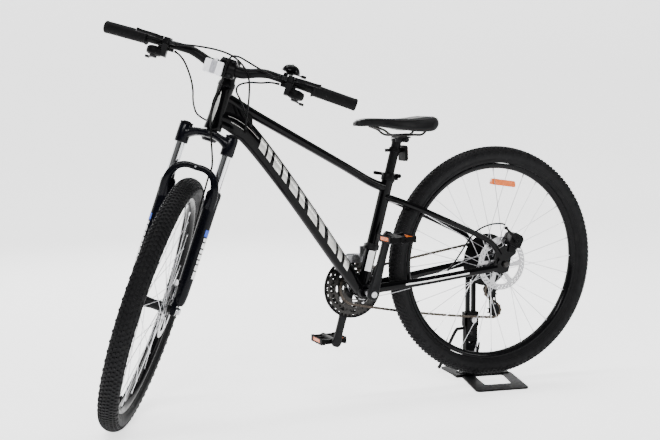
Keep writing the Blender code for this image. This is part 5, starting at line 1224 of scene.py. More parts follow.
def derailleurs():
    place = seat_point(0.130)
    bm = bmesh.new()
    turned(bm, [(0.0177, 0.122), (0.0200, 0.122), (0.0207, 0.1235), (0.0207, 0.1365), (0.0200, 0.138),
                (0.0177, 0.138)],
           at=BB, axis=SEAT_AXIS, steps=48, closed=True)
    block(bm, place + Vector((-0.026, -0.005, -0.005)), place + Vector((-0.016, 0.005, 0.005)))
    block(bm, place + Vector((-0.012, 0.0150, -0.016)), place + Vector((0.014, 0.0290, 0.008)))
    rod(bm, place + Vector((-0.0225, -0.0075, 0)), place + Vector((-0.0225, 0.0075, 0)), 0.0030, sides=6)
    piece(bm, "front_derailleur", "frame_body", GREY_BLACK, BIKE, ["front_derailleur"],
          bevel=0.0010)
    bm = bmesh.new()
    block(bm, (-0.4280, 0.0298, 0.4100), (-0.4040, 0.0345, 0.4405))
    block(bm, (-0.4320, 0.0300, 0.4135), (-0.4000, 0.0545, 0.4155))
    inner = [(-0.474, 0.400), (-0.462, 0.414), (-0.430, 0.4165), (-0.400, 0.416), (-0.385, 0.396),
             (-0.400, 0.392),
             (-0.440, 0.393), (-0.466, 0.392)]
    outer = [(-0.472, 0.409), (-0.458, 0.417), (-0.402, 0.416), (-0.392, 0.402), (-0.404, 0.4035),
             (-0.440, 0.4105),
             (-0.462, 0.4075)]
    plate(bm, rounded(inner, 0.003), 0.0343, 0.0357)
    plate(bm, rounded(outer, 0.0025), 0.0533, 0.0547)
    piece(bm, "fd_cage", "fd_cage_body", STEEL, BIKE, ["fd_cage"], bevel=0.0004)

    bm = bmesh.new()
    x, z = 0.0070, 0.3390
    turned(bm, [(0.0, 0.0690), (0.0040, 0.0690), (0.0040, 0.0745), (0.0108, 0.0745), (0.0115, 0.0755),
                (0.0115, 0.0850),
                (0.0105, 0.0860), (0.0040, 0.0860), (0.0036, 0.0840), (0.0, 0.0840)], at=(x, 0, z), steps=40)
    plate(bm, rounded([(0.0010, 0.3290), (0.0150, 0.3350), (0.0260, 0.3330), (0.0260, 0.3150),
                       (0.0120, 0.3150)], 0.004),
          0.0750, 0.0850)
    piece(bm, "rd_mount", "frame_body", SATIN_BLACK, BIKE, ["rd_mount"], bevel=0.0010)
    bm = bmesh.new()
    plate(bm, rounded([(0.0275, 0.3060), (0.0420, 0.3060), (0.0420, 0.3135), (0.0300, 0.3145)], 0.003),
          0.0690, 0.0840)
    plate(bm, rounded([(0.0150, 0.2750), (0.0330, 0.2700), (0.0400, 0.2900), (0.0400, 0.3115),
                       (0.0260, 0.3115)], 0.005),
          0.0690, 0.0730)
    plate(bm, rounded([(0.0220, 0.2800), (0.0330, 0.2780), (0.0385, 0.3000), (0.0300, 0.3050)], 0.003),
          0.0735, 0.0800)
    turned(bm, [(0.0, 0.0530), (0.0112, 0.0530), (0.0120, 0.0540), (0.0120, 0.0720), (0.0108, 0.0740),
                (0.0, 0.0745)],
           at=(GUIDE.x, 0, GUIDE.z), steps=40)
    piece(bm, "rd_body", "rd_link_body", SATIN_BLACK, BIKE, ["rd_body"], bevel=0.0010)

    along = Vector((TENSION.x - GUIDE.x, TENSION.z - GUIDE.z)).normalized()
    across = Vector((-along.y, along.x))
    g, t = Vector((GUIDE.x, GUIDE.z)), Vector((TENSION.x, TENSION.z))
    outline = []
    for step in range(13):
        a = math.pi * step / 12
        outline.append(tuple(g + across * 0.0120 * math.cos(a) - along * 0.0120 * math.sin(a)))
    outline.append(tuple(g.lerp(t, 0.5) - across * 0.0085))
    for step in range(13):
        a = math.pi * step / 12
        outline.append(tuple(t - across * 0.0120 * math.cos(a) + along * 0.0120 * math.sin(a)))
    outline.append(tuple(g.lerp(t, 0.5) + across * 0.0085))
    window = rounded([tuple(g.lerp(t, s) + across * w) for s,
                      w in ((0.30, -0.004), (0.30, 0.004), (0.70, 0.004),
                                                                    (0.70, -0.004))], 0.003)
    bm = bmesh.new()
    for y in (0.0364, 0.0506):
        plate(bm, outline, y - 0.0007, y + 0.0007, XZ, [window])
    for spot in (GUIDE, TENSION):
        rod(bm, (spot.x, 0.0360, spot.z), (spot.x, 0.0512, spot.z), 0.0025, sides=20)
        rod(bm, (spot.x, 0.0510, spot.z), (spot.x, 0.0522, spot.z), 0.0045, sides=20)
    piece(bm, "rd_cage", "rd_cage_body", SATIN_BLACK, BIKE, ["rd_cage"], bevel=0.0002)
    for name, spot, body in (("rd_guide_pulley", GUIDE, "guide_pulley_body"),
                             ("rd_tension_pulley", TENSION, "tension_pulley_body")):
        bm = bmesh.new()
        plate(bm, cog_outline(11), -0.0012, 0.0012, XZ, [circle(0.0034, 20), *slots(5, 0.0105, 0.005, 0.003)])
        turned(bm, [(0.0032, -0.0045), (0.0064, -0.0045), (0.0070, -0.0040), (0.0070, 0.0040),
                    (0.0064, 0.0045),
                    (0.0032, 0.0045)], steps=28, closed=True)
        piece(bm, name, body, PLASTIC, BIKE @ Matrix.Translation(spot), [name], bevel=0.0002)


# ---------------------------------------------------------------- disc brakes
def caliper(name, body, space, axle, angle, rotor_y, inner_y, outer_y, adapter):
    """Two halves bolted round the rotor's edge, with pad fins, on a mount plate."""
    turn = Matrix.Translation(axle) @ Matrix.Rotation(math.radians(90 - angle), 4, "Y")
    bm = bmesh.new()
    for low, high in ((outer_y, rotor_y - 0.0025), (rotor_y + 0.0025, inner_y)):
        outline = rounded([(-0.022, 0.062), (-0.012, 0.058), (0.012, 0.058), (0.022, 0.062), (0.0215, 0.090),
                           (0.012, 0.098), (-0.012, 0.098), (-0.0215, 0.090)], 0.005)
        plate(bm, outline, low, high)
    plate(bm, rounded([(-0.019, 0.0835), (0.019, 0.0835), (0.012, 0.096), (-0.012, 0.096)], 0.003),
          outer_y + 0.002,
          inner_y - 0.002)
    for x in (-0.0150, 0.0150):
        rod(bm, (x, inner_y, 0.0880), (x, inner_y + 0.0030, 0.0880), 0.0042, sides=6)
    rod(bm, (0, outer_y - 0.0008, 0.078), (0, outer_y + 0.002, 0.078), 0.0150, sides=40)
    bmesh.ops.transform(bm, matrix=turn, verts=bm.verts)
    plate(bm, *adapter)
    piece(bm, name, body, SATIN_BLACK, space, [name], bevel=0.0008)
    bm = bmesh.new()
    for x in (-0.0150, 0.0150):
        rod(bm, (x, inner_y + 0.0028, 0.0880), (x, inner_y + 0.0048, 0.0880), 0.0026, sides=20)
    bmesh.ops.transform(bm, matrix=turn, verts=bm.verts)
    piece(bm, name + "_bolts", body, STEEL, space, bevel=0.0002)


def brake_arm(name, body, space, at, tip, y):
    bm = bmesh.new()
    turned(bm, [(0.0, y + 0.0060), (0.0100, y + 0.0060), (0.0100, y + 0.0008), (0.0092, y), (0.0042, y),
                (0.0036, y + 0.0010),
                (0.0, y + 0.0010)], at=(at.x, 0, at.z), steps=40)
    middle = y + 0.003
    line = smooth([(at.x, middle, at.z), ((at.x * 0.6 + tip.x * 0.4), middle, (at.z * 0.6 + tip.z * 0.4)),
                   (tip.x, middle, tip.z)], 4)
    sweep(bm, line, [0.0060 - 0.0026 * i / (len(line) - 1) for i in range(len(line))], sides=18,
          up=(0, 1, 0), flat=0.45)
    rod(bm, (tip.x, y, tip.z), (tip.x, y + 0.0060, tip.z), 0.0052, sides=24)
    piece(bm, name, body, SATIN_BLACK, space, [name], bevel=0.0005)


def brakes():
    adapter = (rounded([(0.008, 0.410), (0.028, 0.406), (0.046, 0.428), (0.016, 0.446)], 0.006), -0.0786,
               -0.0744)
    caliper("rear_caliper", "frame_body", BIKE, RA, 64.0, -0.0545, -0.0420, -0.0830, adapter)
    at = RA + direction(64.0) * 0.078
    brake_arm("rear_brake_arm", "rear_arm_body", BIKE, at, Vector((-0.006, 0.0, 0.4830)), -0.0896)
    axle = Vector((FORK_X, 0.0, -0.475))
    adapter = (rounded([(-0.0240, -0.4330), (-0.0240, -0.3980), (0.0020, -0.4020), (0.0180, -0.4280)],
                       0.005), -0.0617, -0.0583)
    caliper("front_caliper", "fork_lowers_body", STEER, axle, 28.0, -0.0395, -0.0270, -0.0615, adapter)
    at = axle + direction(28.0) * 0.078
    brake_arm("front_brake_arm", "front_arm_body", STEER, at, at + Vector((-0.0290, 0.0, 0.0350)), -0.0680)

    x, z = RA.x, RA.z
    bm = bmesh.new()
    rod(bm, (x, -0.0800, z), (x, 0.0790, z), 0.0050, sides=28)
    turned(bm, [(0.0, -0.0835), (0.0070, -0.0835), (0.0090, -0.0815), (0.0095, -0.0780), (0.0095, -0.0745),
                (0.0, -0.0745)],
           at=(x, 0, z), steps=36)
    rod(bm, (x, 0.0745, z), (x, 0.0795, z), 0.0080, sides=32)
    piece(bm, "rear_skewer", "frame_body", DARK_STEEL, BIKE, ["rear_skewer"], bevel=0.0004)
    cam_lever("rear_qr_lever", "rear_lever_body", BIKE, Vector((x, 0.0855, z)), Vector((-0.036, 0, 0.044)))
    cam_lever("front_qr_lever", "front_lever_body", STEER, Vector((FORK_X, 0.0728, -0.475)),
              Vector((0.040, 0, 0.040)))


# ---------------------------------------------------------------- steering
BAR_CENTRE = Vector((-0.0775, 0.0, 0.172))
BAR_KNEE = Vector((-0.0775, 0.120, 0.190))
BAR_END = Vector((-0.0403, 0.3400, 0.187))


def bar_point(side, reach):
    share = (reach - BAR_KNEE.y) / (BAR_END.y - BAR_KNEE.y)
    point = BAR_KNEE.lerp(BAR_END, share)
    return Vector((point.x, side * point.y, point.z))


def bar_axis(side):
    return (bar_point(side, 0.30) - bar_point(side, 0.15)).normalized()


def fork():
    bm = bmesh.new()
    for side in (-1, 1):
        rod(bm, (FORK_X, side * STANCHION_Y, -0.0420), (FORK_X, side * STANCHION_Y, -0.3570), 0.0135,
            sides=48)
    piece(bm, "stanchions", "steering_body", CHROME, STEER)

    bm = bmesh.new()
    half = smooth([(0.0, -0.0030, 0.0150, 0.0205, 0.0230), (0.0160, -0.0030, 0.0150, 0.0205, 0.0235),
                   (0.0300, -0.0060, 0.0160, 0.0220, 0.0240), (0.0440, -0.0120, 0.0155, 0.0270, 0.0250),
                   (0.0540, -0.0180, 0.0150, 0.0350, 0.0300), (0.0632, -0.0215, 0.0150, 0.0400, 0.0330)], 5)
    rows = [tuple(row) for row in half]
    rows = [(-y, z, d, h, w) for y, z, d, h, w in reversed(rows[1:])] + rows
    rings = []
    for y, z, depth, height, width in rows:
        points = []
        for step in range(20):
            a = 2 * math.pi * step / 20
            cx, cz = math.copysign(abs(math.cos(a)) ** 0.75,
                                   math.cos(a)), math.copysign(abs(math.sin(a)) ** 0.75, math.sin(a))
            shift = FORK_X * (0.52 + 0.48 * min(1.0, abs(y) / 0.050))
            points.append((shift + cx * (0.0175 + 0.010 * (1 - min(1.0, abs(y) / 0.050))), y,
                           z + cz * height * 0.52))
        rings.append(ring(bm, points))
    bridge(bm, rings)
    for side in (-1, 1):
        y = side * STANCHION_Y
        turned(bm, [(0.0, 0.0045), (0.0150, 0.0045), (0.0172, 0.0030), (0.0180, 0.0010), (0.0180, -0.0430),
                    (0.0172, -0.0462),
                    (0.0160, -0.0470), (0.0, -0.0470)], at=(FORK_X, y, 0), axis=(0, 0, 1), steps=48)
    turned(bm, [(0.0, -0.0200), (0.0180, -0.0200), (0.0235, -0.0120), (0.0235, -0.0040), (0.0205, 0.0030),
                (0.0205, 0.0055), (0.0, 0.0055)],
           axis=(0, 0, 1), steps=48)
    piece(bm, "fork_crown", "steering_body", FORK_PAINT, STEER, ["fork_upper"],
          bevel=0.0012, angle=30)
    bm = bmesh.new()
    rod(bm, (0, 0, 0.0), (0, 0, 0.2030), 0.0143, sides=40)
    turned(bm, [(0.0, 0.1330), (0.0232, 0.1330), (0.0238, 0.1360), (0.0222, 0.1430), (0.0198, 0.1520),
                (0.0190, 0.1588),
                (0.0, 0.1588)], axis=(0, 0, 1), steps=48)
    piece(bm, "headset_cone", "steering_body", SATIN_BLACK, STEER, bevel=0.0004)
    bm = bmesh.new()
    for side in (-1, 1):
        y = side * STANCHION_Y
        outline = []
        for step in range(36):
            radius = 0.0178 if step % 2 else 0.0166
            a = 2 * math.pi * step / 36
            outline.append((FORK_X + radius * math.cos(a), y + radius * math.sin(a)))
        plate(bm, outline, 0.0045, 0.0090, XY)
        turned(bm, [(0.0, 0.0125), (0.0090, 0.0122), (0.0120, 0.0090), (0.0, 0.0090)], at=(FORK_X, y, 0),
               axis=(0, 0, 1), steps=40)
    piece(bm, "fork_caps", "steering_body", SATIN_BLACK, STEER, bevel=0.0003)

    lowers = bmesh.new()
    for side in (-1, 1):
        y = side * STANCHION_Y
        turned(lowers, [(0.0145, -0.1480), (0.0185, -0.1480), (0.0198, -0.1500), (0.0200, -0.1640),
                        (0.0192, -0.1700),
                        (0.0188, -0.2000), (0.0186, -0.3000), (0.0180, -0.3800), (0.0172, -0.4300),
                        (0.0150, -0.4500),
                        (0.0110, -0.4590), (0.0030, -0.4620), (0.0, -0.4600), (0.0, -0.4400),
                        (0.0145, -0.4400)],
               at=(FORK_X, y, 0), axis=(0, 0, 1), steps=56, closed=True)
        low, high = sorted((side * 0.0485, side * 0.0615))
        outline = rounded([(FORK_X - 0.0125, -0.4700), (FORK_X - 0.0080, -0.4890), (FORK_X + 0.0080, -0.4890),
                           (FORK_X + 0.0125, -0.4700), (FORK_X + 0.0120, -0.4400),
                           (FORK_X - 0.0120, -0.4400)], 0.005)
        plate(lowers, outline, low, high)
    arch = smooth([(0.0, -0.0985, 0.0085, 0.0060), (0.0240, -0.0985, 0.0085, 0.0060),
                   (0.0440, -0.1065, 0.0090, 0.0062),
                   (0.0570, -0.1215, 0.0098, 0.0070), (0.0640, -0.1420, 0.0112, 0.0088),
                   (0.0655, -0.1680, 0.0128, 0.0105),
                   (0.0640, -0.2000, 0.0122, 0.0110)], 6)
    arch_x = smooth([(-0.0720,), (-0.0720,), (-0.0720,), (-0.0710,), (-0.0680,), (-0.0600,), (-0.0500,)], 6)
    rows = [(y, z, h, d, x[0]) for (y, z, h, d), x in zip([tuple(row) for row in arch], arch_x)]
    rows = [(-y, z, h, d, x) for y, z, h, d, x in reversed(rows[1:])] + rows
    rings = []
    for index, (y, z, high, deep, x) in enumerate(rows):
        before, after = rows[max(index - 1, 0)], rows[min(index + 1, len(rows) - 1)]
        along = Vector((0.0, after[0] - before[0], after[1] - before[1])).normalized()
        out = Vector((0.0, -along.z, along.y))
        centre = Vector((x, y, z))
        rings.append(ring(lowers, [centre + Vector((math.copysign(abs(math.cos(a)) ** 0.7,
                                                                  math.cos(a)) * deep, 0, 0))
                                   + out * math.copysign(abs(math.sin(a)) ** 0.7, math.sin(a)) * high
                                   for a in [2 * math.pi * i / 20 for i in range(20)]]))
    bridge(lowers, rings)
    x, z = FORK_X, -0.475
    rod(lowers, (x, -0.0680, z), (x, 0.0650, z), 0.0050, sides=24)
    outline = rounded([(-0.0400, -0.4320), (-0.0120, -0.4320), (-0.0120, -0.3900), (-0.0400, -0.3900)], 0.005)
    plate(lowers, outline, -0.0680, -0.0620)
    piece(lowers, "fork_lowers", "fork_lowers_body", FORK_PAINT, STEER, ["fork_lowers"],
          bevel=0.0012,
          angle=32)
    bm = bmesh.new()
    for side in (-1, 1):
        turned(bm, [(0.0138, -0.1440), (0.0165, -0.1445), (0.0178, -0.1480), (0.0138, -0.1480)],
               at=(x, side * STANCHION_Y, 0),
               axis=(0, 0, 1), steps=40, closed=True)
    piece(bm, "fork_seals", "fork_lowers_body", PLASTIC, STEER)
    bm = bmesh.new()
    turned(bm, [(0.0, -0.0740), (0.0080, -0.0740), (0.0095, -0.0720), (0.0095, -0.0620), (0.0, -0.0620)],
           at=(x, 0, z), steps=32)
    turned(bm, [(0.0, 0.0605), (0.0080, 0.0605), (0.0080, 0.0665), (0.0, 0.0665)], at=(x, 0, z), steps=32)
    rod(bm, (-0.0870, 0.0, -0.0985), (-0.0780, 0.0, -0.0985), 0.0024, sides=20)
    piece(bm, "front_axle_ends", "fork_lowers_body", STEEL, STEER, bevel=0.0004)
    for side, name in ((-1, "left"), (1, "right")):
        bm = bmesh.new()
        leg_patch(bm, side, -0.2480, -0.2660, 56)
        piece(bm, "leg_patch_" + name, "fork_lowers_body", BLUE_MARK, STEER)
        bm = bmesh.new()
        for low, high in ((-0.2700, -0.2790), (-0.2830, -0.2970), (-0.3010, -0.3110), (-0.3150, -0.3270),
                          (-0.3310, -0.3400), (-0.3440, -0.3580), (-0.3620, -0.3820)):
            leg_patch(bm, side, low, high, 44)
        piece(bm, "leg_bars_" + name, "fork_lowers_body", WHITE_MARK, STEER)


def leg_patch(bm, side, top, bottom, spread):
    """A mark on the outer front of a lower leg."""
    middle = side * math.radians(116)
    rings = []
    for step in range(7):
        z = top + (bottom - top) * step / 6
        radius = 0.0186 + 0.00012
        points = []
        for lift, order in ((0.0004, range(-6, 7)), (0.0, range(6, -7, -1))):
            for index in order:
                a = middle + math.radians(spread) / 12 * index
                points.append((FORK_X + (radius + lift) * math.cos(a),
                               side * STANCHION_Y + (radius + lift) * math.sin(a), z))
        rings.append(ring(bm, points))
    bridge(bm, rings)


def cockpit():
    bm = bmesh.new()
    turned(bm, [(0.0148, 0.1600), (0.0186, 0.1600), (0.0198, 0.1615), (0.0198, 0.2025), (0.0186, 0.2040),
                (0.0148, 0.2040)],
           axis=(0, 0, 1), steps=56, closed=True)
    arm = smooth([(-0.004, 0.1830, 0.0185, 0.0165), (-0.022, 0.1815, 0.0168, 0.0150),
                  (-0.042, 0.1785, 0.0160, 0.0140),
                  (-0.060, 0.1755, 0.0180, 0.0150)], 5)
    rings = []
    for x, z, high, wide in [tuple(row) for row in arm]:
        rings.append(ring(bm, [(x, wide * math.copysign(abs(math.cos(a)) ** 0.8, math.cos(a)),
                                z + high * math.copysign(abs(math.sin(a)) ** 0.8, math.sin(a)))
                               for a in [2 * math.pi * i / 32 for i in range(32)]]))
    bridge(bm, rings)
    turned(bm, [(0.0164, -0.0228), (0.0222, -0.0228), (0.0232, -0.0215), (0.0232, 0.0215), (0.0222, 0.0228),
                (0.0164, 0.0228)],
           at=BAR_CENTRE, steps=56, closed=True)
    block(bm, (0.0130, -0.0110, 0.1640), (0.0260, 0.0110, 0.2000))
    for z in (0.152, 0.192):
        block(bm, (BAR_CENTRE.x - 0.0180, -0.0190, z - 0.0050), (BAR_CENTRE.x + 0.004, 0.0190, z + 0.0050))
    piece(bm, "stem", "steering_body", SATIN_BLACK, STEER, ["stem"], bevel=0.0012, angle=32)
    bm = bmesh.new()
    turned(bm, [(0.0, 0.2085), (0.0150, 0.2080), (0.0190, 0.2062), (0.0194, 0.2042), (0.0, 0.2042)],
           axis=(0, 0, 1), steps=48)
    for y in (-0.0125, 0.0125):
        for z in (0.152, 0.192):
            rod(bm, (BAR_CENTRE.x - 0.0180, y, z), (BAR_CENTRE.x - 0.0215, y, z), 0.0040, sides=20)
    for z in (0.172, 0.192):
        rod(bm, (0.0200, -0.0110, z), (0.0200, -0.0145, z), 0.0038, sides=20)
    piece(bm, "stem_cap_and_bolts", "steering_body", GREY_BLACK, STEER, bevel=0.0005)

    half = [(BAR_CENTRE.x, 0.0, BAR_CENTRE.z, 0.0158), (BAR_CENTRE.x, 0.030, BAR_CENTRE.z, 0.0158),
            (BAR_CENTRE.x, 0.044, BAR_CENTRE.z + 0.001, 0.0148),
            (BAR_CENTRE.x - 0.001, 0.058, BAR_CENTRE.z + 0.0045, 0.0130),
            (BAR_CENTRE.x - 0.001, 0.078, BAR_CENTRE.z + 0.0115, 0.0124),
            (BAR_CENTRE.x - 0.001, 0.098, BAR_CENTRE.z + 0.0165, 0.0119),
            (*BAR_KNEE, 0.0111), (*bar_point(1, 0.200), 0.0111), (*BAR_END, 0.0111)]
    route = [(x, -y, z, r) for x, y, z, r in reversed(half[1:])] + half
    route = [tuple(row) for row in smooth(route, 6)]
    bm = bmesh.new()
    sweep(bm, route, [row[3] for row in route], sides=36)
    piece(bm, "handlebar", "steering_body", SATIN_BLACK, STEER, ["handlebar"])
    for side, prefix in ((-1, "left"), (1, "right")):
        grip(side, prefix + "_grip")
        control(side, prefix)
    bell()
    front_reflector()


def grip(side, name):
    """Rubber grip with an inner flange, rows of low ribs, a smooth palm band and a closed end."""
    origin, axis = bar_point(side, 0.228), bar_axis(side)
    length = (bar_point(side, 0.3495) - origin).length
    profile = [(0.0117, 0.0), (0.0178, 0.0), (0.0186, 0.0012), (0.0186, 0.0032), (0.0172, 0.0046),
               (0.0158, 0.0070)]
    at = 0.0090
    while at < length - 0.0130:
        profile += [(0.0157, at), (0.0164, at + 0.0006), (0.0164, at + 0.0018), (0.0157, at + 0.0024)]
        at += 0.0040
    profile += [(0.0162, length - 0.0080), (0.0167, length - 0.0060), (0.0167, length - 0.0020),
                (0.0150, length),
                (0.0, length), (0.0, length - 0.0035), (0.0117, length - 0.0035)]
    bm = bmesh.new()
    turned(bm, profile, at=origin, axis=axis, steps=56, closed=True)
    piece(bm, name, "steering_body", GRIP, STEER, [name], angle=50)


def control(side, prefix):
    """Brake perch, shifter pod and gear window, the lever blade and the thumb paddle."""
    middle, axis = bar_point(side, 0.170), bar_axis(side)
    bm = bmesh.new()
    turned(bm, [(0.0117, -0.0070), (0.0148, -0.0070), (0.0158, -0.0060), (0.0158, 0.0060), (0.0148, 0.0070),
                (0.0117, 0.0070)],
           at=middle, axis=axis, steps=48, closed=True)
    outline = rounded([(middle.x - 0.0400, middle.y - 0.0070), (middle.x - 0.0330, middle.y - 0.0090),
                       (middle.x - 0.0110, middle.y - 0.0090), (middle.x - 0.0110, middle.y + 0.0090),
                       (middle.x - 0.0360, middle.y + 0.0090)], 0.003)
    plate(bm, outline, middle.z - 0.0050, middle.z + 0.0110, XY)
    block(bm, middle + Vector((-0.0330, -0.0080, -0.0400)), middle + Vector((-0.0140, 0.0080, 0.0)))
    piece(bm, prefix + "_control", "steering_body", SATIN_BLACK, STEER, [prefix + "_control"],
          bevel=0.0014)

    pod = middle + Vector((-0.0220, side * 0.024, -0.0320))
    bm = bmesh.new()
    turned(bm, [(0.0, -0.0105), (0.0150, -0.0105), (0.0195, -0.0085), (0.0215, -0.0040), (0.0215, 0.0050),
                (0.0190, 0.0095),
                (0.0140, 0.0118), (0.0, 0.0122)], at=pod, axis=(0, 0, 1), steps=56)
    turned(bm, [(0.0085, 0.0110), (0.0110, 0.0130), (0.0085, 0.0135), (0.0, 0.0135), (0.0, 0.0110)], at=pod,
           axis=(0, 0, 1), steps=40)
    start = middle + Vector((-0.0220, side * 0.018, -0.0170))
    turned(bm, [(0.0, 0.0), (0.0075, 0.0), (0.0080, 0.004), (0.0062, 0.016), (0.0045, 0.024),
                (0.0045, 0.041), (0.0, 0.041)],
           at=start, axis=(0, -side, 0), steps=32)
    piece(bm, prefix + "_shifter", "steering_body", PLASTIC, STEER, bevel=0.0008)
    bm = bmesh.new()
    a = middle + Vector((-0.0300, 0.0, 0.001))
    for begin, end, radius, sides in ((0.0, 0.010, 0.0052, 24), (0.0105, 0.0165, 0.0062, 12),
                                      (0.017, 0.024, 0.0048, 24)):
        rod(bm, a + Vector((0, -side * begin, 0)), a + Vector((0, -side * end, 0)), radius, sides=sides)
    piece(bm, prefix + "_barrel_adjuster", "steering_body", GREY_BLACK, STEER, bevel=0.0005)
    bm = bmesh.new()
    turned(bm, [(0.0118, -0.0030), (0.0161, -0.0030), (0.0164, -0.0022), (0.0164, 0.0022), (0.0161, 0.0030),
                (0.0118, 0.0030)],
           at=middle, axis=axis, steps=48, closed=True)
    rod(bm, middle + Vector((-0.0180, 0, 0.0100)), middle + Vector((-0.0180, 0, 0.0128)), 0.0036, sides=20)
    piece(bm, prefix + "_clamp_band", "steering_body", STEEL, STEER, bevel=0.0004)

    at = middle + Vector((-0.0330, side * 0.0140, 0.0050))
    bm = bmesh.new()
    turned(bm, [(0.0, -0.0048), (0.0040, -0.0048), (0.0042, -0.0040), (0.0042, 0.0052), (0.0038, 0.0060),
                (0.0, 0.0060)],
           at=at, axis=(0, 0, 1), steps=28)
    line = smooth([(0.0, 0.0, 0.0050), (-0.0090, 0.014, 0.0050), (-0.0130, 0.030, 0.0046),
                   (-0.0116, 0.048, 0.0044),
                   (-0.0128, 0.058, 0.0046), (-0.0160, 0.0665, 0.0054)], 5)
    route = [at + Vector((x, side * y, 0.0006)) for x, y, _ in line]
    sweep(bm, route, [row[2] for row in line], sides=20, flat=1.0, up=(0, 0, 1))
    piece(bm, prefix + "_brake_lever", prefix + "_brake_lever_body", SATIN_BLACK, STEER,
          [prefix + "_brake_lever"],
          bevel=0.0004)

    paddle = pod + Vector((0, 0, -0.0150))
    bm = bmesh.new()
    turned(bm, [(0.0, -0.0020), (0.0090, -0.0020), (0.0100, -0.0012), (0.0100, 0.0030), (0.0, 0.0030)],
           at=paddle, axis=(0, 0, 1), steps=36)
    tip = paddle + Vector((0.0230, side * 0.0190, -0.0010))
    sweep(bm, smooth([paddle, paddle.lerp(tip, 0.55), tip], 4), [0.0034] * 9, sides=16, flat=0.7)
    outline = rounded([(tip.x - 0.0070, tip.y - 0.0060), (tip.x + 0.0070, tip.y - 0.0060),
                       (tip.x + 0.0070, tip.y + 0.0060),
                       (tip.x - 0.0070, tip.y + 0.0060)], 0.004)
    plate(bm, outline, tip.z - 0.0030, tip.z + 0.0030, XY)
    piece(bm, prefix + "_shift_paddle", prefix + "_paddle_body", GREY_BLACK, STEER,
          [prefix + "_shift_paddle"],
          bevel=0.0008)


def bell():
    middle, axis = bar_point(-1, 0.150), bar_axis(-1)
    top = middle + Vector((0.0, -0.011, 0.0))
    bm = bmesh.new()
    turned(bm, [(0.0117, -0.0055), (0.0146, -0.0055), (0.0150, -0.0048), (0.0150, 0.0048), (0.0146, 0.0055),
                (0.0117, 0.0055)],
           at=middle, axis=axis, steps=40, closed=True)
    block(bm, middle + Vector((-0.0060, -0.0062, 0.0110)), middle + Vector((0.0060, 0.0050, 0.0185)))
    turned(bm, [(0.0, 0.0165), (0.0085, 0.0165), (0.0085, 0.0195), (0.0050, 0.0196), (0.0050, 0.0290),
                (0.0, 0.0290)],
           at=top, axis=(0, 0, 1), steps=32)
    piece(bm, "bell_mount", "steering_body", PLASTIC, STEER, bevel=0.0005)
    dome = [tuple(p) for p in smooth([(0.0, 0.0440), (0.0060, 0.0438), (0.0120, 0.0424), (0.0180, 0.0390),
                                      (0.0225, 0.0335),
                                      (0.0247, 0.0275), (0.0250, 0.0245)], 4)]
    dome += [(0.0240, 0.0240), (0.0228, 0.0246), (0.0205, 0.0300), (0.0150, 0.0350), (0.0, 0.0380)]
    bm = bmesh.new()
    turned(bm, dome, at=top, axis=(0, 0, 1), steps=72)
    turned(bm, [(0.0, 0.0462), (0.0030, 0.0458), (0.0042, 0.0440), (0.0, 0.0436)], at=top, axis=(0, 0, 1),
           steps=28)
    piece(bm, "bell", "steering_body", GLOSS_BLACK, STEER, ["bell"])
    at = top + Vector((0, 0, 0.0214))
    bm = bmesh.new()
    turned(bm, [(0.0064, -0.0014), (0.0120, -0.0014), (0.0120, 0.0014), (0.0064, 0.0014)], at=at,
           axis=(0, 0, 1), steps=36, closed=True)
    outline = rounded([(at.x - 0.0040, at.y - 0.0100), (at.x + 0.0040, at.y - 0.0100),
                       (at.x + 0.0032, at.y - 0.0340), (at.x - 0.0032, at.y - 0.0340)], 0.001)
    plate(bm, outline, at.z - 0.0014, at.z + 0.0014, XY)
    outline = rounded([(at.x - 0.0055, at.y - 0.0300), (at.x + 0.0055, at.y - 0.0300),
                       (at.x + 0.0050, at.y - 0.0430), (at.x - 0.0050, at.y - 0.0430)], 0.003)
    plate(bm, outline, at.z - 0.0032, at.z + 0.0034, XY)
    piece(bm, "bell_lever", "bell_lever_body", PLASTIC, STEER, ["bell_lever"], bevel=0.0006)


def front_reflector():
    bm = bmesh.new()
    turned(bm, [(0.0168, 0.0290), (0.0186, 0.0290), (0.0192, 0.0300), (0.0192, 0.0360), (0.0186, 0.0370),
                (0.0168, 0.0370)],
           at=BAR_CENTRE, steps=40, closed=True)
    block(bm, (-0.1050, 0.0290, 0.156), (-0.0935, 0.0370, 0.170))
    plate(bm, rounded([(0.0070, 0.1440), (0.0570, 0.1440), (0.0570, 0.1800), (0.0070, 0.1800)], 0.004),
          -0.1090, -0.1025, YZ)
    piece(bm, "front_reflector_housing", "steering_body", WHITE_LENS, STEER,
          ["front_reflector"], bevel=0.0010)
    for name, low, high, material in (("left", 0.0085, 0.0240, WHITE_LENS),
                                      ("middle", 0.0245, 0.0395, GREY_LENS),
                                      ("right", 0.0400, 0.0555, WHITE_LENS)):
        bm = bmesh.new()
        plate(bm, rounded([(low, 0.1455), (high, 0.1455), (high, 0.1785), (low, 0.1785)], 0.002), -0.1118,
              -0.1088, YZ)
        piece(bm, "front_reflector_" + name, "steering_body", material, STEER,
              bevel=0.0008)


# ---------------------------------------------------------------- control cables
def from_bar(reach, side_y, height):
    """A place given as forward, rider's left and up from the crown race."""
    return STEER @ Vector((-reach, -side_y, height))


def on_bike(x, y, z):
    return Vector((x, y + MIDPLANE, z))


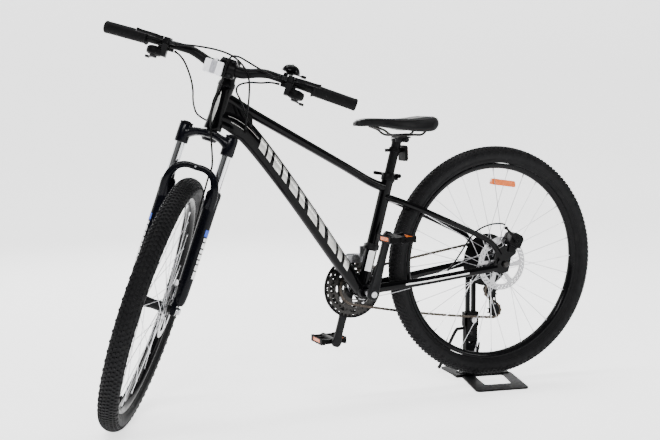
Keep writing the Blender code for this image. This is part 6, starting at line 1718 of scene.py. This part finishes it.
def cables():
    """Four housings with ferrules, baked in place in the world; none of them follows the steering or the
    fork's travel.
    """
    rear_brake = [from_bar(0.0991, -0.1440, 0.1903), from_bar(0.1050, -0.120, 0.1950),
                  from_bar(0.1120, -0.085, 0.2005),
                  from_bar(0.1180, -0.039, 0.2050), from_bar(0.1170, 0.000, 0.2040),
                  from_bar(0.1120, 0.030, 0.1940),
                  from_bar(0.1020, 0.052, 0.1780), on_bike(-0.8190, -0.1280, 0.9120),
                  on_bike(-0.8095, -0.1000, 0.8780),
                  on_bike(-0.8030, -0.0720, 0.8460), on_bike(-0.8000, -0.0480, 0.8120),
                  on_bike(-0.7945, -0.0285, 0.7810)]
    rear_shift = [from_bar(0.0911, -0.1440, 0.1723), from_bar(0.0910, -0.127, 0.1660),
                  from_bar(0.0880, -0.1080, 0.1510),
                  from_bar(0.0700, -0.0860, 0.1210), from_bar(0.0400, -0.0760, 0.0960),
                  from_bar(0.0, -0.0750, 0.0770),
                  from_bar(-0.0400, -0.0720, 0.0610), on_bike(-0.8950, 0.0780, 0.8250),
                  on_bike(-0.8700, 0.0560, 0.8060),
                  on_bike(-0.8400, 0.0380, 0.7960), on_bike(-0.8120, 0.0268, 0.7900)]
    front_brake = [from_bar(0.0991, 0.1435, 0.1903), from_bar(0.1050, 0.124, 0.1850),
                   from_bar(0.1060, 0.084, 0.1930),
                   from_bar(0.1080, 0.050, 0.2010), from_bar(0.1100, 0.022, 0.2060),
                   from_bar(0.1110, 0.004, 0.1980),
                   from_bar(0.1080, -0.0005, 0.1650), from_bar(0.0880, -0.002, 0.1200),
                   from_bar(0.0660, -0.0110, 0.0800),
                   from_bar(0.0550, -0.0040, 0.0350), from_bar(0.0640, 0.0160, -0.0200),
                   from_bar(0.0560, 0.0365, -0.0800),
                   from_bar(0.0480, 0.0360, -0.1200), from_bar(0.0280, 0.0355, -0.1700),
                   from_bar(0.0160, 0.0370, -0.2300),
                   from_bar(0.0060, 0.0420, -0.2900), from_bar(0.0030, 0.0530, -0.3450),
                   from_bar(0.0035, 0.0648, -0.3955)]
    front_shift = [from_bar(0.0911, 0.1440, 0.1723), from_bar(0.0860, 0.120, 0.1700),
                   from_bar(0.0680, 0.095, 0.1640),
                   from_bar(0.0480, 0.062, 0.1580), from_bar(0.0400, 0.038, 0.1450),
                   on_bike(-0.8270, -0.0500, 0.8880),
                   on_bike(-0.8110, -0.0410, 0.8600), on_bike(-0.7980, -0.0350, 0.8280),
                   on_bike(-0.7840, -0.0285, 0.8000)]
    routes = (("cable_rear_brake", rear_brake, 5, -1), ("cable_rear_shift", rear_shift, 4, -1),
              ("cable_front_shift", front_shift, 4, -1), ("cable_front_brake", front_brake, 9, 13))
    for name, route, first, last in routes:
        line = [Vector(point) for point in smooth(route, 8)]
        bm = bmesh.new()
        sweep(bm, line, 0.0025, sides=14)
        for a, b in ((line[0], line[3]), (line[-1], line[-4])):
            rod(bm, a, b, 0.0031, sides=16)
        pair = ("fork_lowers_body", "steering_body") if name == "cable_front_brake" else ("frame_body",
                                                                                          "steering_body")
        piece(bm, name, None, HOUSING, ROW, [name], blend=(*pair, route[last], route[first]))
    hose = [(-0.188, -0.0600, 0.3640), (-0.165, -0.0560, 0.3840), (-0.138, -0.0490, 0.4120),
            (-0.106, -0.0440, 0.4500),
            (-0.078, -0.0460, 0.4760), (-0.046, -0.0600, 0.4920), (-0.020, -0.0780, 0.4960),
            (-0.0085, -0.0868, 0.4925)]
    bm = bmesh.new()
    line = [Vector(point) for point in smooth(hose, 8)]
    sweep(bm, line, 0.0025, sides=14)
    rod(bm, line[0], line[3], 0.0032, sides=16)
    piece(bm, "rear_brake_hose", "frame_body", HOUSING, BIKE, ["rear_brake_hose"])
    bm = bmesh.new()
    sweep(bm, smooth([(-0.452, -0.012, 0.2950), (-0.437, -0.014, 0.2915), (-0.400, -0.020, 0.2975),
                      (-0.350, -0.030, 0.3070),
                      (-0.300, -0.0400, 0.3180)], 6), 0.0011, sides=8)
    piece(bm, "bare_cable", "frame_body", STEEL)


# ---------------------------------------------------------------- display stand
def stand():
    near = [(-0.050, 0.095), (-0.107, -0.096), (0.058, -0.124), (0.114, 0.070)]
    near_hole = [(-0.015, 0.075), (-0.046, -0.044), (0.040, -0.058), (0.078, 0.055)]
    far = [(-0.066, 0.100), (-0.056, 0.218), (0.098, 0.190), (0.108, 0.070)]
    far_hole = [(-0.034, 0.126), (-0.028, 0.186), (0.068, 0.168), (0.074, 0.106)]
    cross = [(-0.072, 0.082), (0.100, 0.052), (0.108, 0.099), (-0.064, 0.129)]
    bm = bmesh.new()
    for outline, hole in ((near, near_hole), (far, far_hole)):
        plate(bm, rounded(outline, 0.016, 8), 0.0, 0.005, XY, [rounded(hole, 0.010, 6)])
    plate(bm, rounded(cross, 0.004), 0.0, 0.009, XY)
    for x, y in ((-0.0500, 0.0930), (0.0850, 0.0700), (-0.0480, 0.1160), (0.0880, 0.0920)):
        turned(bm, [(0.0, 0.0120), (0.0040, 0.0117), (0.0055, 0.0100), (0.0055, 0.0090), (0.0, 0.0090)],
               at=(x, y, 0), axis=(0, 0, 1), steps=6)
    piece(bm, "stand_base", "stand", STAND_PAINT, BIKE, ["stand_base"], bevel=0.0012)
    bm = bmesh.new()
    for low, high in (((-0.0435, 0.0745), (-0.0395, 0.0955)), ((-0.0075, 0.0745), (-0.0035, 0.0955))):
        block(bm, (low[0], low[1], 0.002), (high[0], high[1], 0.164))
    window = rounded([(-0.0275, 0.126), (-0.0185, 0.126), (-0.0185, 0.144), (-0.0275, 0.144)], 0.002)
    notch = [(-0.034, 0.112), (-0.012, 0.112), (-0.023, 0.100)]
    outline = [(-0.0435, 0.002), (-0.0035, 0.002), (-0.0035, 0.164), (-0.0435, 0.164)]
    plate(bm, outline, 0.0745, 0.0790, XZ, [window, notch])
    plate(bm, outline, 0.0910, 0.0955, XZ, [window, notch])
    for lo, hi in ((0.0735, 0.0790), (0.0911, 0.0965)):
        plate(bm, rounded([(-0.0465, 0.160), (-0.0005, 0.160), (-0.0005, 0.205), (-0.0465, 0.205)], 0.003),
              lo, hi)
    for lo, hi in ((-0.0465, -0.0402), (-0.0058, -0.0005)):
        block(bm, (lo, 0.0735, 0.160), (hi, 0.0965, 0.205))
    piece(bm, "stand_column", "stand", STAND_PAINT, bevel=0.0009)

    bm = bmesh.new()
    plate(bm, rounded([(-0.0394, 0.110), (-0.0270, 0.110), (-0.0270, 0.346), (-0.0394, 0.346)], 0.002),
          0.080, 0.090)
    plate(bm, rounded([(-0.0190, 0.110), (-0.0066, 0.110), (-0.0066, 0.318), (-0.0190, 0.318)], 0.002),
          0.080, 0.090)
    block(bm, (-0.0394, 0.080, 0.308), (-0.0066, 0.090, 0.318))
    block(bm, (-0.0394, 0.080, 0.110), (-0.0066, 0.090, 0.122))
    block(bm, (-0.0480, 0.0630, 0.338), (-0.0270, 0.088, 0.3508))
    block(bm, (-0.0480, 0.0785, 0.340), (-0.0270, 0.0835, 0.370))
    piece(bm, "stand_upright", "stand_upright_body", STAND_PAINT, BIKE,
          ["stand_upright"], bevel=0.0009)
    bm = bmesh.new()
    outline = []
    for step in range(24):
        radius, turn = 0.0088 if step % 2 else 0.0080, math.pi * step / 12
        outline.append((radius * math.cos(turn) - 0.023, radius * math.sin(turn) + 0.182))
    plate(bm, outline, 0.0600, 0.0700)
    turned(bm, [(0.0, 0.0595), (0.0050, 0.0596), (0.0066, 0.0602), (0.0, 0.0602)], at=(-0.023, 0, 0.182),
           steps=28)
    rod(bm, (-0.023, 0.070, 0.182), (-0.023, 0.0792, 0.182), 0.0030, sides=20)
    piece(bm, "stand_knob", "knob_body", STEEL, BIKE, ["stand_knob"], bevel=0.0004)
    left = [(-0.052, 0.102, 0.150), (-0.061, 0.106, 0.145), (-0.068, 0.126, 0.110), (-0.072, 0.186, 0.018),
            (-0.072, 0.194, 0.0112)]
    right = [(-0.058 - x, y, z) for x, y, z in left]
    bm = bmesh.new()
    sweep(bm, smooth([*reversed(left), *right], 6), 0.0049, sides=20)
    piece(bm, "stand_brace", "brace_body", STAND_PAINT, BIKE, ["stand_brace"])


# ---------------------------------------------------------------- build
camera()
studio()
floor()
wheels()
frame_set()
marks()
seat()
drivetrain()
derailleurs()
brakes()
fork()
cockpit()
cables()
stand()
